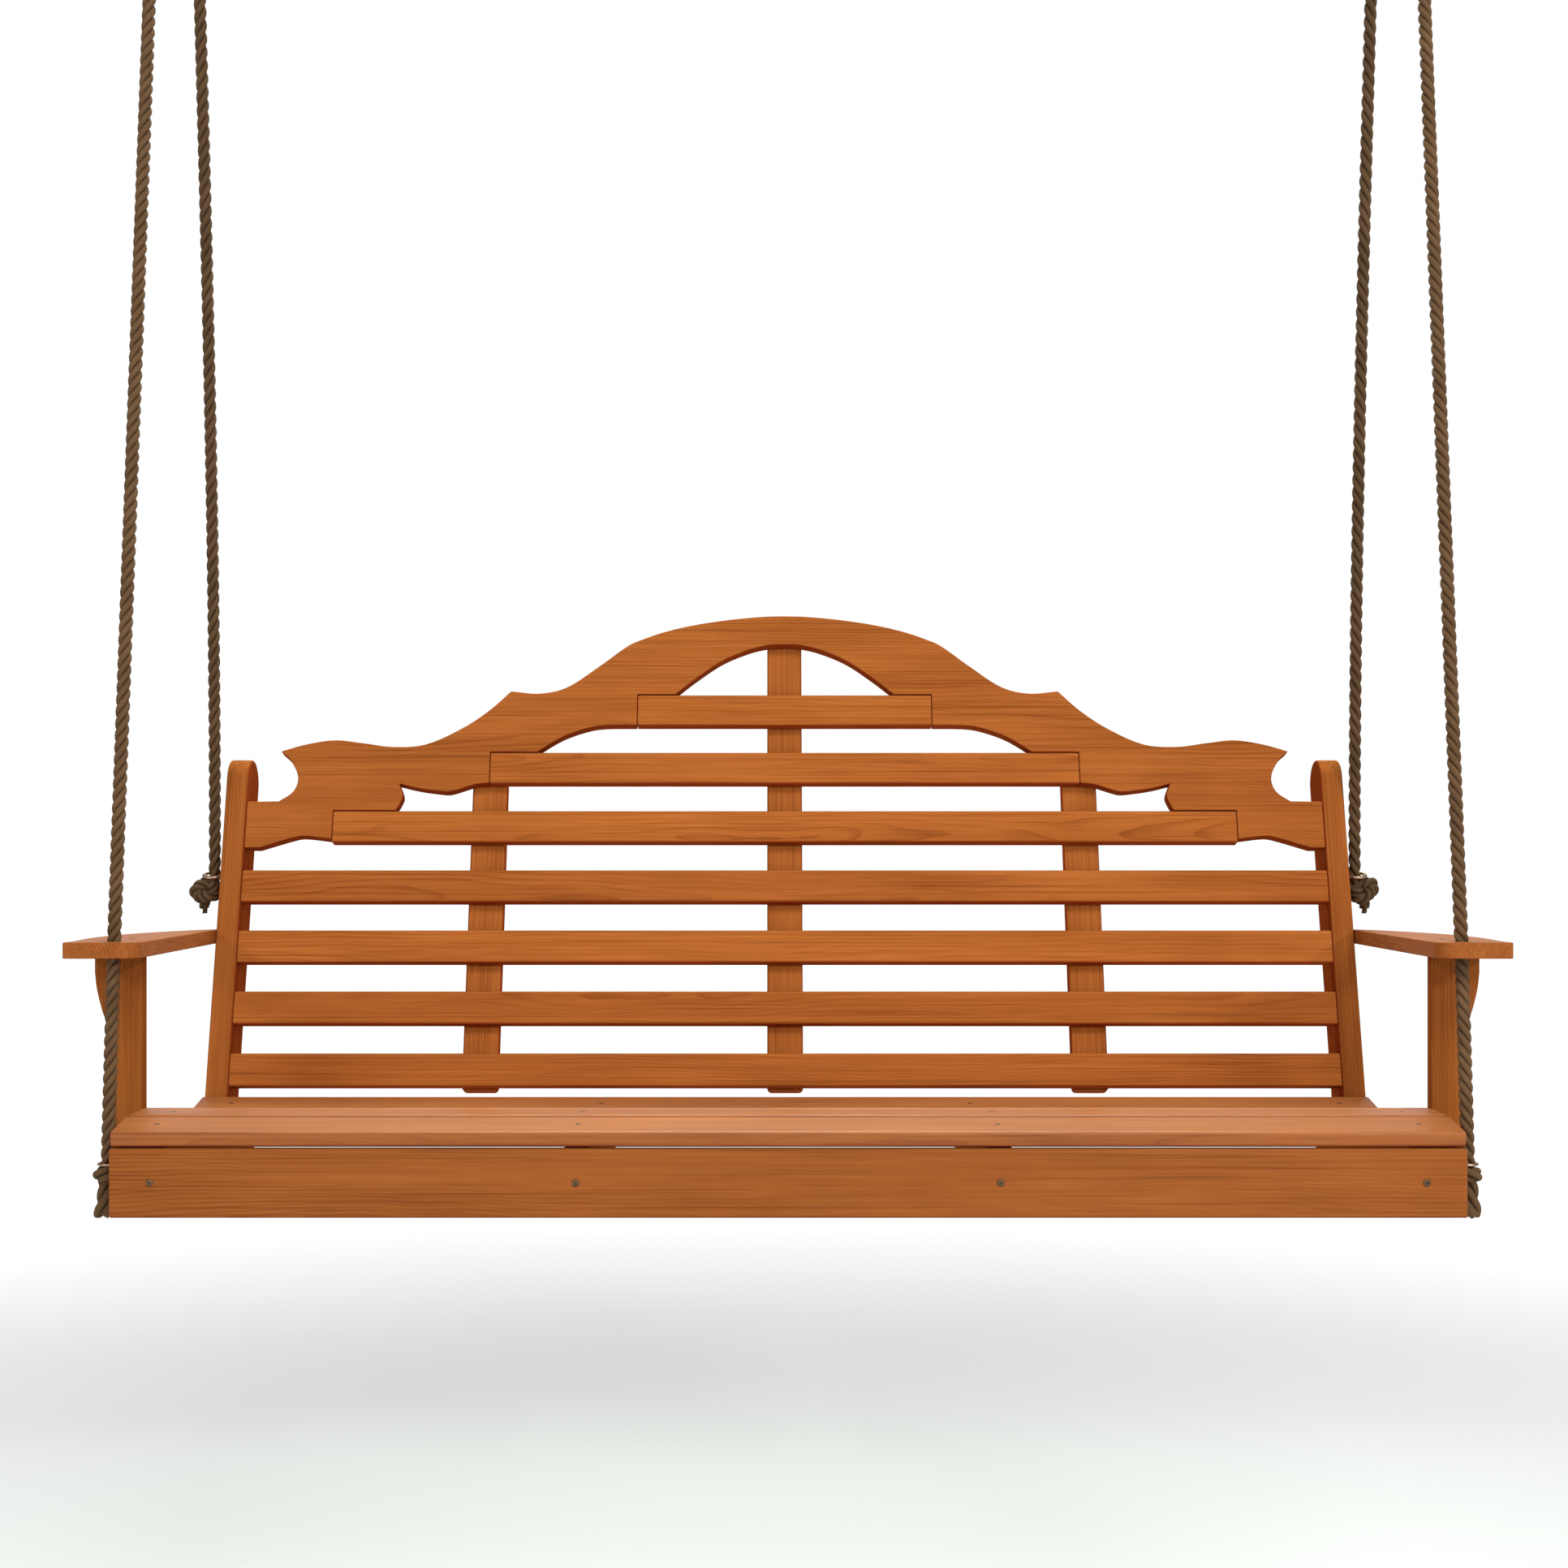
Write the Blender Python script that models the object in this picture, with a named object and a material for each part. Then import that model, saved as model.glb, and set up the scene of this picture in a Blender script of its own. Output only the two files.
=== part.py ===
"""Five-foot wooden porch swing seat, hung on four ropes.

Every shape is drawn in the seat's own layout: x runs along the bench, depth runs
backwards from the front face of the front rail, and height runs up from the rail's
lower edge. The model's origin is the middle of the ceiling plane that the four hook
plates are screwed to, so each object is moved down and forward by ORIGIN.

The parts form four groups. The hooks stay on the ceiling. The front ropes swing on the
front hooks, the seat rocks on the front ropes where they pass through the arms, and the
rear ropes turn in the rear eye screws on the seat. Each group's empty is on its axis.
"""

import math

import bmesh
import bpy
from mathutils import Matrix, Vector
from mathutils.geometry import interpolate_bezier

# ---------------------------------------------------------------- driving dimensions (metres)
GAP = 0.0003                     # running and glue gap between neighbouring pieces

RAIL_HALF_LENGTH = 0.7625
RAIL_HEIGHT = 0.0779
RAIL_THICKNESS = 0.019
FRAME_FACE = 0.7612              # outer face of the uprights and side rails
FRAME_THICKNESS = 0.030
SUPPORT_THICKNESS = 0.0286
SUPPORT_FOOT = 0.004             # lower edge of the seat frame's boards
SUPPORT_REAR_RISE = 0.012
INNER_SUPPORT_X = 0.2385

SEAT_SLAT_COUNT = 6
SEAT_SLAT_WIDTH = 0.0635
SEAT_SLAT_THICKNESS = 0.018
SEAT_SLAT_PITCH = 0.070
SEAT_CONTOUR = (                 # depth and height of the sitting surface
    (0.000, 0.0965), (0.060, 0.1066), (0.110, 0.1088), (0.160, 0.1060),
    (0.220, 0.0945), (0.290, 0.0815), (0.345, 0.0790), (0.415, 0.0915))

RECLINE = math.radians(15.8)
BACK_FOOT = (0.4225, 0.0957)     # depth and height where the back plane is measured from
BACK_BOARD = 0.019               # thickness of the back slats, headboard and back supports
BACK_SLAT_COUNT = 7
BACK_SLAT_HEIGHT = 0.0445
BACK_SLAT_PITCH = 0.0834
LOWEST_SLAT_TOP = 0.0516
BACK_HALF_WIDTH = 0.7309
NOTCH_GROOVE = 0.0007            # groove between the headboard and the slat ends in it
HEADBOARD_NOTCHES = {            # slat: inner end of its notch, end of the slat, foot of the notch
    1: (0.1505, 0.2020, 0.508),
    2: (0.3386, 0.4022, 0.425),
    3: (0.5286, 0.6130, 0.345),
}

UPRIGHT_DEPTH = 0.0635
UPRIGHT_TOP = 0.4655
UPRIGHT_BOTTOM = -0.092
BACK_SUPPORT_WIDTH = 0.0475
BACK_SUPPORT_X = 0.4036
BACK_SUPPORT_FOOT = 0.004
SIDE_SUPPORT_TOP = 0.505
MIDDLE_SUPPORT_TOP = 0.655

ARM_TOP = 0.3078
ARM_THICKNESS = 0.0185
ARM_SLOPE = 0.0045               # the arms drop a little towards the back
ARM_FRONT = 0.034
POST_FRONT = 0.134
POST_THICKNESS = 0.019
POST_INNER = FRAME_FACE + 0.0005

ROPE_RADIUS = 0.0078
ROPE_X = 0.776                   # at the eyes and the arm holes
HOOK_X = 0.768
ROPE_STEP = 0.046
ROPE_BREAK = 0.0014              # half the gap where a rope bends at a joint
FRONT_EYE = (0.0432, 0.0549)     # depth and height
ARM_HOLE = (0.0666, 0.2985)
REAR_EYE = (0.534, 0.3787)
FRONT_HOOK = (0.2160, 1.680)
REAR_HOOK = (0.4100, 1.680)
CEILING = 1.740
ARM_HOLE_RADIUS = 0.0110

FRONT_EYE_RING = (0.7747, 0.0112, 0.0019)    # ring centre x, ring radius, wire radius
REAR_EYE_RING = (0.7770, 0.0134, 0.0021)
EYE_SHANK_RADIUS = 0.0025
EYE_SHANK_LENGTH = 0.026
EYE_PILOT_RADIUS = 0.0029

SCREW_HEIGHT = 0.0397
SCREW_RADIUS = 0.0021
SCREW_PILOT_RADIUS = 0.0026
SCREW_LENGTH = 0.045
SCREW_HEAD_RADIUS = 0.0043
SCREW_HEAD_HEIGHT = 0.0014

HOOK_WIRE = 0.0045
HOOK_BOWL = 0.0175
HOOK_TIP_ANGLE = 375
LOOP_RADIUS = 0.024
LOOP_THROAT = 0.0575             # from the hook's axis down to the loop's narrow end
LOOP_THROAT_RADIUS = 0.0085
FRONT_LOOP_SLACK = 0.0005        # between a loop and the wire it hangs on
REAR_LOOP_SLACK = 0.0045
PLATE_SIZE = (0.080, 0.036, 0.005)

ORIGIN = Vector((0.0, (FRONT_HOOK[0] + REAR_HOOK[0]) / 2, CEILING))
SIDES = (("left", -1), ("right", 1))

# colour, roughness, metallic
FINISHES = {
    "cedar": ((0.40, 0.115, 0.030), 0.42, 0.0),
    "rope": ((0.23, 0.165, 0.105), 0.90, 0.0),
    "zinc": ((0.62, 0.60, 0.57), 0.32, 1.0),
    "hook_steel": ((0.10, 0.10, 0.11), 0.45, 1.0),
}


# ---------------------------------------------------------------- scene and bodies
def clear_scene():
    for item in list(bpy.data.objects):
        bpy.data.objects.remove(item, do_unlink=True)


def make_material(name):
    colour, roughness, metallic = FINISHES[name]
    material = bpy.data.materials.new(name)
    material.use_nodes = True
    shader = material.node_tree.nodes["Principled BSDF"]
    shader.inputs["Base Color"].default_value = (*colour, 1.0)
    shader.inputs["Roughness"].default_value = roughness
    shader.inputs["Metallic"].default_value = metallic
    return material


def make_body(name, depth, height):
    """An empty on the group's joint axis."""
    empty = bpy.data.objects.new(name, None)
    empty.location = Vector((0.0, depth, height)) - ORIGIN
    bpy.context.collection.objects.link(empty)
    return empty


def place(item, body, finish=None):
    """Put an object drawn in the seat's layout into the model, under its body's empty."""
    if item.name not in bpy.context.collection.objects:
        bpy.context.collection.objects.link(item)
    item.location = -ORIGIN
    item.parent = body
    item.matrix_parent_inverse = Matrix.Translation(-body.location)
    if finish is not None:
        material = make_material(finish)
        material.name = item.name
        item.data.materials.append(material)
    return item


# ---------------------------------------------------------------- outlines
def smooth_run(points, steps=3):
    """Points on a smooth curve that passes through each given point."""
    knots = [Vector((*point, 0.0)) for point in points]
    run = [knots[0]]
    for index in range(len(knots) - 1):
        start, end = knots[index], knots[index + 1]
        before = knots[max(index - 1, 0)]
        after = knots[min(index + 2, len(knots) - 1)]
        span = (end - start).length
        leave = (end - before).normalized() * span / 3
        arrive = (after - start).normalized() * span / 3
        run += interpolate_bezier(start, start + leave, end - arrive, end, steps + 1)[1:]
    return [(point.x, point.y) for point in run]


def arc(centre, radius, start_degrees, end_degrees, steps):
    angles = [math.radians(start_degrees + (end_degrees - start_degrees) * step / steps)
              for step in range(steps + 1)]
    return [(centre[0] + radius * math.cos(angle), centre[1] + radius * math.sin(angle))
            for angle in angles]


def rounded_rectangle(width, height, radii, steps=3):
    """Corners in order: lower left, lower right, upper right, upper left; from (0, 0)."""
    corners = ((0, 0, 180), (width, 0, 270), (width, height, 0), (0, height, 90))
    points = []
    for (x, y, start), radius in zip(corners, radii):
        centre = (x + radius if x == 0 else x - radius, y + radius if y == 0 else y - radius)
        points += arc(centre, radius, start, start + 90, steps)
    return points


def seat_height(depth):
    """Height of the sitting surface."""
    run = smooth_run(SEAT_CONTOUR)
    for (left, low), (right, high) in zip(run, run[1:]):
        if left <= depth <= right:
            return low + (high - low) * (depth - left) / (right - left)
    return run[-1][1]


def back_point(x, along, behind):
    """A point given in the reclined back: up along the slope, and behind its front plane."""
    depth = BACK_FOOT[0] + along * math.sin(RECLINE) + behind * math.cos(RECLINE)
    height = BACK_FOOT[1] + along * math.cos(RECLINE) - behind * math.sin(RECLINE)
    return Vector((x, depth, height))


# ---------------------------------------------------------------- solids
def extrude(name, outline, to_front, to_back):
    """A closed solid between two copies of an outline; each copy comes from a function."""
    mesh = bpy.data.meshes.new(name)
    build = bmesh.new()
    front = [build.verts.new(to_front(point)) for point in outline]
    back = [build.verts.new(to_back(point)) for point in outline]
    build.faces.new(front)
    build.faces.new(back[::-1])
    for index in range(len(outline)):
        following = (index + 1) % len(outline)
        build.faces.new((front[following], front[index], back[index], back[following]))
    bmesh.ops.recalc_face_normals(build, faces=build.faces)
    build.to_mesh(mesh)
    build.free()
    return bpy.data.objects.new(name, mesh)


def extrude_along_bench(name, outline, start, end):
    """Outline in depth and height."""
    return extrude(name, outline, lambda p: (start, *p), lambda p: (end, *p))


def extrude_in_back(name, outline, front, back):
    """Outline in x and distance up the slope, between two depths behind the back's plane."""
    return extrude(name, outline, lambda p: back_point(*p, front), lambda p: back_point(*p, back))


def sweep(name, path, across, radius, closed=False, sides=8):
    """A round bar along a flat path; across is the normal of the path's plane."""
    mesh = bpy.data.meshes.new(name)
    build = bmesh.new()
    count = len(path)
    rings = []
    for index, point in enumerate(path):
        before = path[index - 1] if closed or index > 0 else point
        after = path[(index + 1) % count] if closed or index < count - 1 else point
        tangent = (after - before).normalized()
        side = tangent.cross(across).normalized()
        ring = []
        for step in range(sides):
            angle = 2 * math.pi * step / sides
            offset = across * math.cos(angle) + side * math.sin(angle)
            ring.append(build.verts.new(point + offset * radius))
        rings.append(ring)
    for index in range(count if closed else count - 1):
        ring, following = rings[index], rings[(index + 1) % count]
        for step in range(sides):
            other = (step + 1) % sides
            build.faces.new((ring[step], ring[other], following[other], following[step]))
    if not closed:
        build.faces.new(rings[0])
        build.faces.new(rings[-1])
    bmesh.ops.recalc_face_normals(build, faces=build.faces)
    build.to_mesh(mesh)
    build.free()
    mesh.shade_smooth()
    mesh.set_sharp_from_angle(angle=math.radians(40))
    return bpy.data.objects.new(name, mesh)


def turned(name, centre, radii, segments=12, rings=7):
    """An egg-shaped solid with its own radius along each axis."""
    mesh = bpy.data.meshes.new(name)
    build = bmesh.new()
    bmesh.ops.create_uvsphere(build, u_segments=segments, v_segments=rings, radius=1.0)
    bmesh.ops.scale(build, vec=radii, verts=build.verts)
    bmesh.ops.translate(build, vec=centre, verts=build.verts)
    build.to_mesh(mesh)
    build.free()
    mesh.shade_smooth()
    return bpy.data.objects.new(name, mesh)


def soften_edges(item, width, segments=1):
    bevel = item.modifiers.new("softened edges", "BEVEL")
    bevel.width = width
    bevel.segments = segments
    bevel.limit_method = "ANGLE"
    bevel.angle_limit = math.radians(35)
    return item


def combine(item, tool, operation, body):
    """Cut a tool out of an item, or melt it in; the tool itself is left out of the build."""
    place(tool, body)
    tool.hide_render = True
    tool.display_type = "WIRE"
    boolean = item.modifiers.new(tool.name, "BOOLEAN")
    boolean.operation = operation
    boolean.solver = "EXACT"
    boolean.object = tool


def drill(item, name, start, end, radius, body):
    """A round hole between two points in a plane of constant height or of constant depth."""
    across = Vector((0, 0, 1)) if abs((end - start).z) < 1e-6 else Vector((1, 0, 0))
    combine(item, sweep(name, [start, end], across, radius, sides=12), "DIFFERENCE", body)


# ---------------------------------------------------------------- seat frame
def support_outline(rear_depth, rear_foot):
    """Side view of a seat frame board whose upper edge carries the slats flat."""
    upper = []
    for number in range(SEAT_SLAT_COUNT):
        front, rear = slat_edges(number)
        direction = (rear - front).normalized()
        down = Vector((direction.y, -direction.x)) * (SEAT_SLAT_THICKNESS + GAP)
        upper += [front + down, rear + down]
    front_end = RAIL_THICKNESS + GAP
    upper[0] = upper[0].lerp(upper[1], (front_end - upper[0].x) / (upper[1].x - upper[0].x))
    last = upper[-1]
    if rear_depth > last.x:
        upper.append(Vector((rear_depth, last.y + 0.004)))
    lower = [Vector((rear_foot, SUPPORT_FOOT + SUPPORT_REAR_RISE)),
             Vector((0.16, SUPPORT_FOOT)), Vector((front_end, SUPPORT_FOOT))]
    return [tuple(point) for point in upper + lower]


def slat_edges(number):
    """Upper front and rear corners of a seat slat, counted from the front."""
    front = Vector((SEAT_SLAT_PITCH * number, seat_height(SEAT_SLAT_PITCH * number)))
    reach = front.x + SEAT_SLAT_WIDTH
    rear = Vector((reach, seat_height(reach)))
    return front, front + (rear - front).normalized() * SEAT_SLAT_WIDTH


def add_front_rail(seat):
    outline = rounded_rectangle(RAIL_THICKNESS, RAIL_HEIGHT, (0.003, 0.002, 0.002, 0.003))
    rail = extrude_along_bench("front_rail", outline, -RAIL_HALF_LENGTH, RAIL_HALF_LENGTH)
    place(rail, seat, "cedar")
    for x in support_places():
        start = Vector((x, -0.01, SCREW_HEIGHT))
        end = Vector((x, RAIL_THICKNESS + 0.01, SCREW_HEIGHT))
        drill(rail, f"rail_hole_{x:+.3f}", start, end, SCREW_PILOT_RADIUS, seat)


def support_places():
    outer = FRAME_FACE - FRAME_THICKNESS - GAP - SUPPORT_THICKNESS / 2
    return (-outer, -INNER_SUPPORT_X, INNER_SUPPORT_X, outer)


def add_seat_supports(seat):
    names = ("left_outer", "left_inner", "right_inner", "right_outer")
    outline = support_outline(0.455, 0.450)
    for name, x in zip(names, support_places()):
        half = SUPPORT_THICKNESS / 2
        support = extrude_along_bench(f"seat_support_{name}", outline, x - half, x + half)
        soften_edges(support, 0.0015)
        place(support, seat, "cedar")
        start = Vector((x, 0.0, SCREW_HEIGHT))
        end = Vector((x, SCREW_LENGTH + 0.002, SCREW_HEIGHT))
        drill(support, f"support_hole_{name}", start, end, SCREW_PILOT_RADIUS, seat)
        add_rail_screw(name, x, seat)


def add_rail_screw(name, x, seat):
    start = Vector((x, -GAP, SCREW_HEIGHT))
    head = turned(f"rail_screw_{name}", start + Vector((0, -SCREW_HEAD_HEIGHT / 2, 0)),
                  (SCREW_HEAD_RADIUS, SCREW_HEAD_HEIGHT / 2, SCREW_HEAD_RADIUS), 12, 6)
    place(head, seat, "zinc")
    path = [start + Vector((0, -SCREW_HEAD_HEIGHT / 2, 0)), start + Vector((0, SCREW_LENGTH, 0))]
    shank = sweep(f"screw_shank_{name}", path, Vector((1, 0, 0)), SCREW_RADIUS)
    combine(head, shank, "UNION", seat)


def add_side_rails(seat):
    """Boards outside the outer supports, from the front rail to the uprights."""
    front_of_upright = BACK_FOOT[0] - math.tan(RECLINE) * (BACK_FOOT[1] - SUPPORT_FOOT)
    outline = support_outline(0.0, front_of_upright - 0.0015)
    for name, side in SIDES:
        inner, outer = side * (FRAME_FACE - FRAME_THICKNESS), side * FRAME_FACE
        rail = extrude_along_bench(f"side_rail_{name}", outline, inner, outer)
        soften_edges(rail, 0.0015)
        place(rail, seat, "cedar")
        add_eye(f"front_eye_{name}", rail, side, FRONT_EYE, FRONT_EYE_RING, seat)


def add_eye(name, board, side, position, ring_size, seat):
    """A screw eye: a level wire ring with its shank screwed sideways into a board."""
    centre_x, ring_radius, wire = ring_size
    depth, height = position
    ring = [Vector((side * centre_x + x, depth + y, height))
            for x, y in arc((0, 0), ring_radius, 0, 340, 17)]
    up = Vector((0, 0, 1))
    eye = place(sweep(name, ring, up, wire, closed=True, sides=6), seat, "zinc")
    shank = [Vector((side * (centre_x - ring_radius), depth, height)),
             Vector((side * (FRAME_FACE - EYE_SHANK_LENGTH), depth, height))]
    combine(eye, sweep(f"{name}_shank", shank, up, EYE_SHANK_RADIUS), "UNION", seat)
    start = Vector((side * (FRAME_FACE + 0.01), depth, height))
    end = Vector((side * (FRAME_FACE - EYE_SHANK_LENGTH - 0.001), depth, height))
    drill(board, f"{name}_pilot", start, end, EYE_PILOT_RADIUS, seat)


def add_seat_slats(seat):
    for number in range(SEAT_SLAT_COUNT):
        front, rear = slat_edges(number)
        along = (rear - front).normalized()
        up = Vector((-along.y, along.x))
        corner = front - up * SEAT_SLAT_THICKNESS
        nose = 0.0045 if number == 0 else 0.004
        section = rounded_rectangle(SEAT_SLAT_WIDTH, SEAT_SLAT_THICKNESS,
                                    (0.004, 0.003, 0.004, nose))
        outline = [tuple(corner + along * x + up * y) for x, y in section]
        slat = extrude_along_bench(f"seat_slat_{number + 1}", outline, -FRAME_FACE, FRAME_FACE)
        place(slat, seat, "cedar")


# ---------------------------------------------------------------- reclined back
def add_uprights(seat):
    """Side posts of the back, round over the top, with the rear eye in the outer face."""
    half = UPRIGHT_DEPTH / 2
    top = arc((half, UPRIGHT_TOP - half), half, 0, 180, 12)
    outline = [(0.0, UPRIGHT_BOTTOM), (UPRIGHT_DEPTH, UPRIGHT_BOTTOM + 0.020), *top]
    for name, side in SIDES:
        inner, outer = side * (FRAME_FACE - FRAME_THICKNESS), side * FRAME_FACE
        upright = extrude(f"upright_{name}", outline,
                          lambda p: back_point(inner, p[1], p[0]),
                          lambda p: back_point(outer, p[1], p[0]))
        soften_edges(upright, 0.0025, 2)
        place(upright, seat, "cedar")
        add_eye(f"rear_eye_{name}", upright, side, REAR_EYE, REAR_EYE_RING, seat)


def add_back_supports(seat):
    """Three boards behind the slats and the headboard, which tie them together."""
    boards = (("left", -BACK_SUPPORT_X, SIDE_SUPPORT_TOP), ("middle", 0.0, MIDDLE_SUPPORT_TOP),
              ("right", BACK_SUPPORT_X, SIDE_SUPPORT_TOP))
    for name, x, top in boards:
        section = rounded_rectangle(BACK_SUPPORT_WIDTH, top - BACK_SUPPORT_FOOT, (0.010,) * 4)
        outline = [(x - BACK_SUPPORT_WIDTH / 2 + px, BACK_SUPPORT_FOOT + py) for px, py in section]
        front = BACK_BOARD + GAP
        board = extrude_in_back(f"back_support_{name}", outline, front, front + BACK_BOARD)
        soften_edges(board, 0.0025)
        place(board, seat, "cedar")


def slat_top(number):
    """Upper edge of a back slat, counted from the top."""
    return LOWEST_SLAT_TOP + (BACK_SLAT_COUNT - number) * BACK_SLAT_PITCH


def add_back_slats(seat):
    section = rounded_rectangle(BACK_BOARD, BACK_SLAT_HEIGHT, (0.004, 0.003, 0.003, 0.004))
    for number in range(1, BACK_SLAT_COUNT + 1):
        half = HEADBOARD_NOTCHES[number][1] if number in HEADBOARD_NOTCHES else BACK_HALF_WIDTH
        bottom = slat_top(number) - BACK_SLAT_HEIGHT
        slat = extrude(f"back_slat_{number}", section,
                       lambda p: back_point(-half, bottom + p[1], p[0]),
                       lambda p: back_point(half, bottom + p[1], p[0]))
        place(slat, seat, "cedar")


def headboard_half():
    """Right half of the headboard, from the crown's middle round to the arch's middle."""
    crown = smooth_run(((0.000, 0.668), (0.030, 0.6672), (0.077, 0.6625), (0.129, 0.654),
                        (0.168, 0.644), (0.198, 0.633), (0.216, 0.6245), (0.257, 0.593),
                        (0.300, 0.563), (0.336, 0.554), (0.377, 0.557)), 2)
    wing = smooth_run(((0.377, 0.557), (0.407, 0.5285), (0.443, 0.503), (0.492, 0.480),
                       (0.536, 0.4765), (0.579, 0.482), (0.616, 0.486), (0.655, 0.480),
                       (0.689, 0.470)), 2)
    bite = smooth_run(((0.689, 0.470), (0.6755, 0.457), (0.664, 0.433), (0.669, 0.413),
                       (0.688, 0.3985)), 3)
    end = [(BACK_HALF_WIDTH, 0.398), (BACK_HALF_WIDTH, 0.333), (0.711, 0.333)]
    third_notch, second_notch, first_notch = notch(3), notch(2), notch(1)
    foot = smooth_run(((0.711, 0.333), (0.6615, 0.3481), (0.6483, 0.3492), third_notch[0]), 2)
    curl = smooth_run((third_notch[-1], (0.523, 0.396), (0.5196, 0.407), (0.525, 0.4235)), 2)
    second_brow = smooth_run(((0.525, 0.4235), (0.4996, 0.4172), (0.4698, 0.4128),
                              (0.4582, 0.4120), (0.4499, 0.4137), (0.4234, 0.4224),
                              (0.4134, 0.4239), second_notch[0]), 2)
    first_brow = smooth_run((second_notch[-1], (0.306, 0.490), (0.2755, 0.502), (0.252, 0.507),
                             first_notch[0]), 2)
    arch = smooth_run((first_notch[-1], (0.1195, 0.578), (0.0845, 0.6025), (0.0465, 0.619),
                       (0.020, 0.6252), (0.000, 0.626)), 2)
    runs = (crown, wing[1:], bite[1:], end, foot[1:-1], third_notch, curl[1:],
            second_brow[1:-1], second_notch, first_brow[1:-1], first_notch, arch[1:])
    return [point for run in runs for point in run]


def notch(number):
    """The step that a slat's end and its upper edge fit into, from its foot upwards."""
    inner, slat_end, foot = HEADBOARD_NOTCHES[number]
    end = slat_end + NOTCH_GROOVE
    top = slat_top(number) + NOTCH_GROOVE
    return [(end, foot), (end, top), (inner, top)]


def add_headboard(seat):
    half = headboard_half()
    mirrored = [(-x, along) for x, along in half[-2:0:-1]]
    headboard = extrude_in_back("headboard", half + mirrored, 0.0, BACK_BOARD)
    soften_edges(headboard, 0.0012)
    place(headboard, seat, "cedar")


# ---------------------------------------------------------------- arms
def arm_outline():
    """Right arm in plan: x and depth."""
    outer = smooth_run(((0.826, 0.070), (0.8385, 0.190), (0.836, 0.300), (0.8160, 0.400),
                        (0.792, 0.470), (0.772, 0.502)), 3)
    inner_front = arc((0.766, 0.059), 0.025, 180, 270, 5)
    outer_front = arc((0.8215, 0.0385), 0.0045, 270, 360, 3)
    rear = [(FRAME_FACE + 0.0004, 0.512), (FRAME_FACE + 0.0004, 0.470)]
    return outer + rear + inner_front + outer_front


def arm_underside(depth):
    return ARM_TOP - ARM_THICKNESS - ARM_SLOPE * (depth - ARM_FRONT)


def add_arms(seat):
    for name, side in SIDES:
        def level(point, lift):
            x, depth = point
            return (side * x, depth, arm_underside(depth) + lift)

        arm = extrude(f"arm_{name}", arm_outline(),
                      lambda p: level(p, ARM_THICKNESS), lambda p: level(p, 0.0))
        soften_edges(arm, 0.0025, 2)
        place(arm, seat, "cedar")
        start = Vector((side * ROPE_X, ARM_HOLE[0], ARM_HOLE[1] - 0.03))
        end = Vector((side * ROPE_X, ARM_HOLE[0], ARM_HOLE[1] + 0.03))
        drill(arm, f"arm_hole_{name}", start, end, ARM_HOLE_RADIUS, seat)


def add_arm_posts(seat):
    """Boards that stand outside the slat ends and widen into a corbel under the arm."""
    top = arm_underside(POST_FRONT + POST_THICKNESS) - GAP
    narrow, wide = 0.8010, 0.8187
    corbel = smooth_run(((narrow, 0.150), (narrow + 0.0005, 0.175), (0.8045, 0.205),
                         (0.8110, 0.226), (0.8165, 0.249), (wide, 0.268)), 4)
    outline = [(POST_INNER, top), (POST_INNER, SUPPORT_FOOT), (narrow, SUPPORT_FOOT),
               *corbel, (wide, top)]
    for name, side in SIDES:
        back = POST_FRONT + POST_THICKNESS
        post = extrude(f"arm_post_{name}", outline,
                       lambda p: (side * p[0], POST_FRONT, p[1]),
                       lambda p: (side * p[0], back, p[1]))
        soften_edges(post, 0.002)
        place(post, seat, "cedar")


# ---------------------------------------------------------------- ropes and their fittings
def at(side, position, x=ROPE_X):
    """A point on a rope's line, from its depth and height."""
    return Vector((side * x, *position))


def add_rope(name, start, end, body):
    """A taut rope: a straight round tube with evenly spaced points."""
    curve = bpy.data.curves.new(name, "CURVE")
    curve.dimensions = "3D"
    curve.bevel_depth = ROPE_RADIUS
    curve.bevel_resolution = 2
    curve.use_fill_caps = True
    count = max(2, round((end - start).length / ROPE_STEP) + 1)
    spline = curve.splines.new("POLY")
    spline.points.add(count - 1)
    for index, point in enumerate(spline.points):
        point.co = (*start.lerp(end, index / (count - 1)), 1.0)
    place(bpy.data.objects.new(name, curve), body, "rope")


def add_loop(name, hook, rope_direction, slack, body):
    """The eye spliced in a rope's top end: a closed teardrop that hangs on the hook's wire."""
    sideways = rope_direction.cross(Vector((1, 0, 0))).normalized()
    across = sideways.cross(rope_direction)
    top = HOOK_WIRE + slack + ROPE_RADIUS
    head = arc((0, top - LOOP_RADIUS), LOOP_RADIUS, -12, 192, 12)
    throat = arc((0, -LOOP_THROAT), LOOP_THROAT_RADIUS, 200, 340, 5)
    path = [hook + sideways * x + rope_direction * y for x, y in head + throat]
    place(sweep(name, path, across, ROPE_RADIUS, closed=True), body, "rope")


def rope_top(hook, direction):
    return hook - direction * (LOOP_THROAT + LOOP_THROAT_RADIUS + ROPE_RADIUS + GAP)


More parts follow.
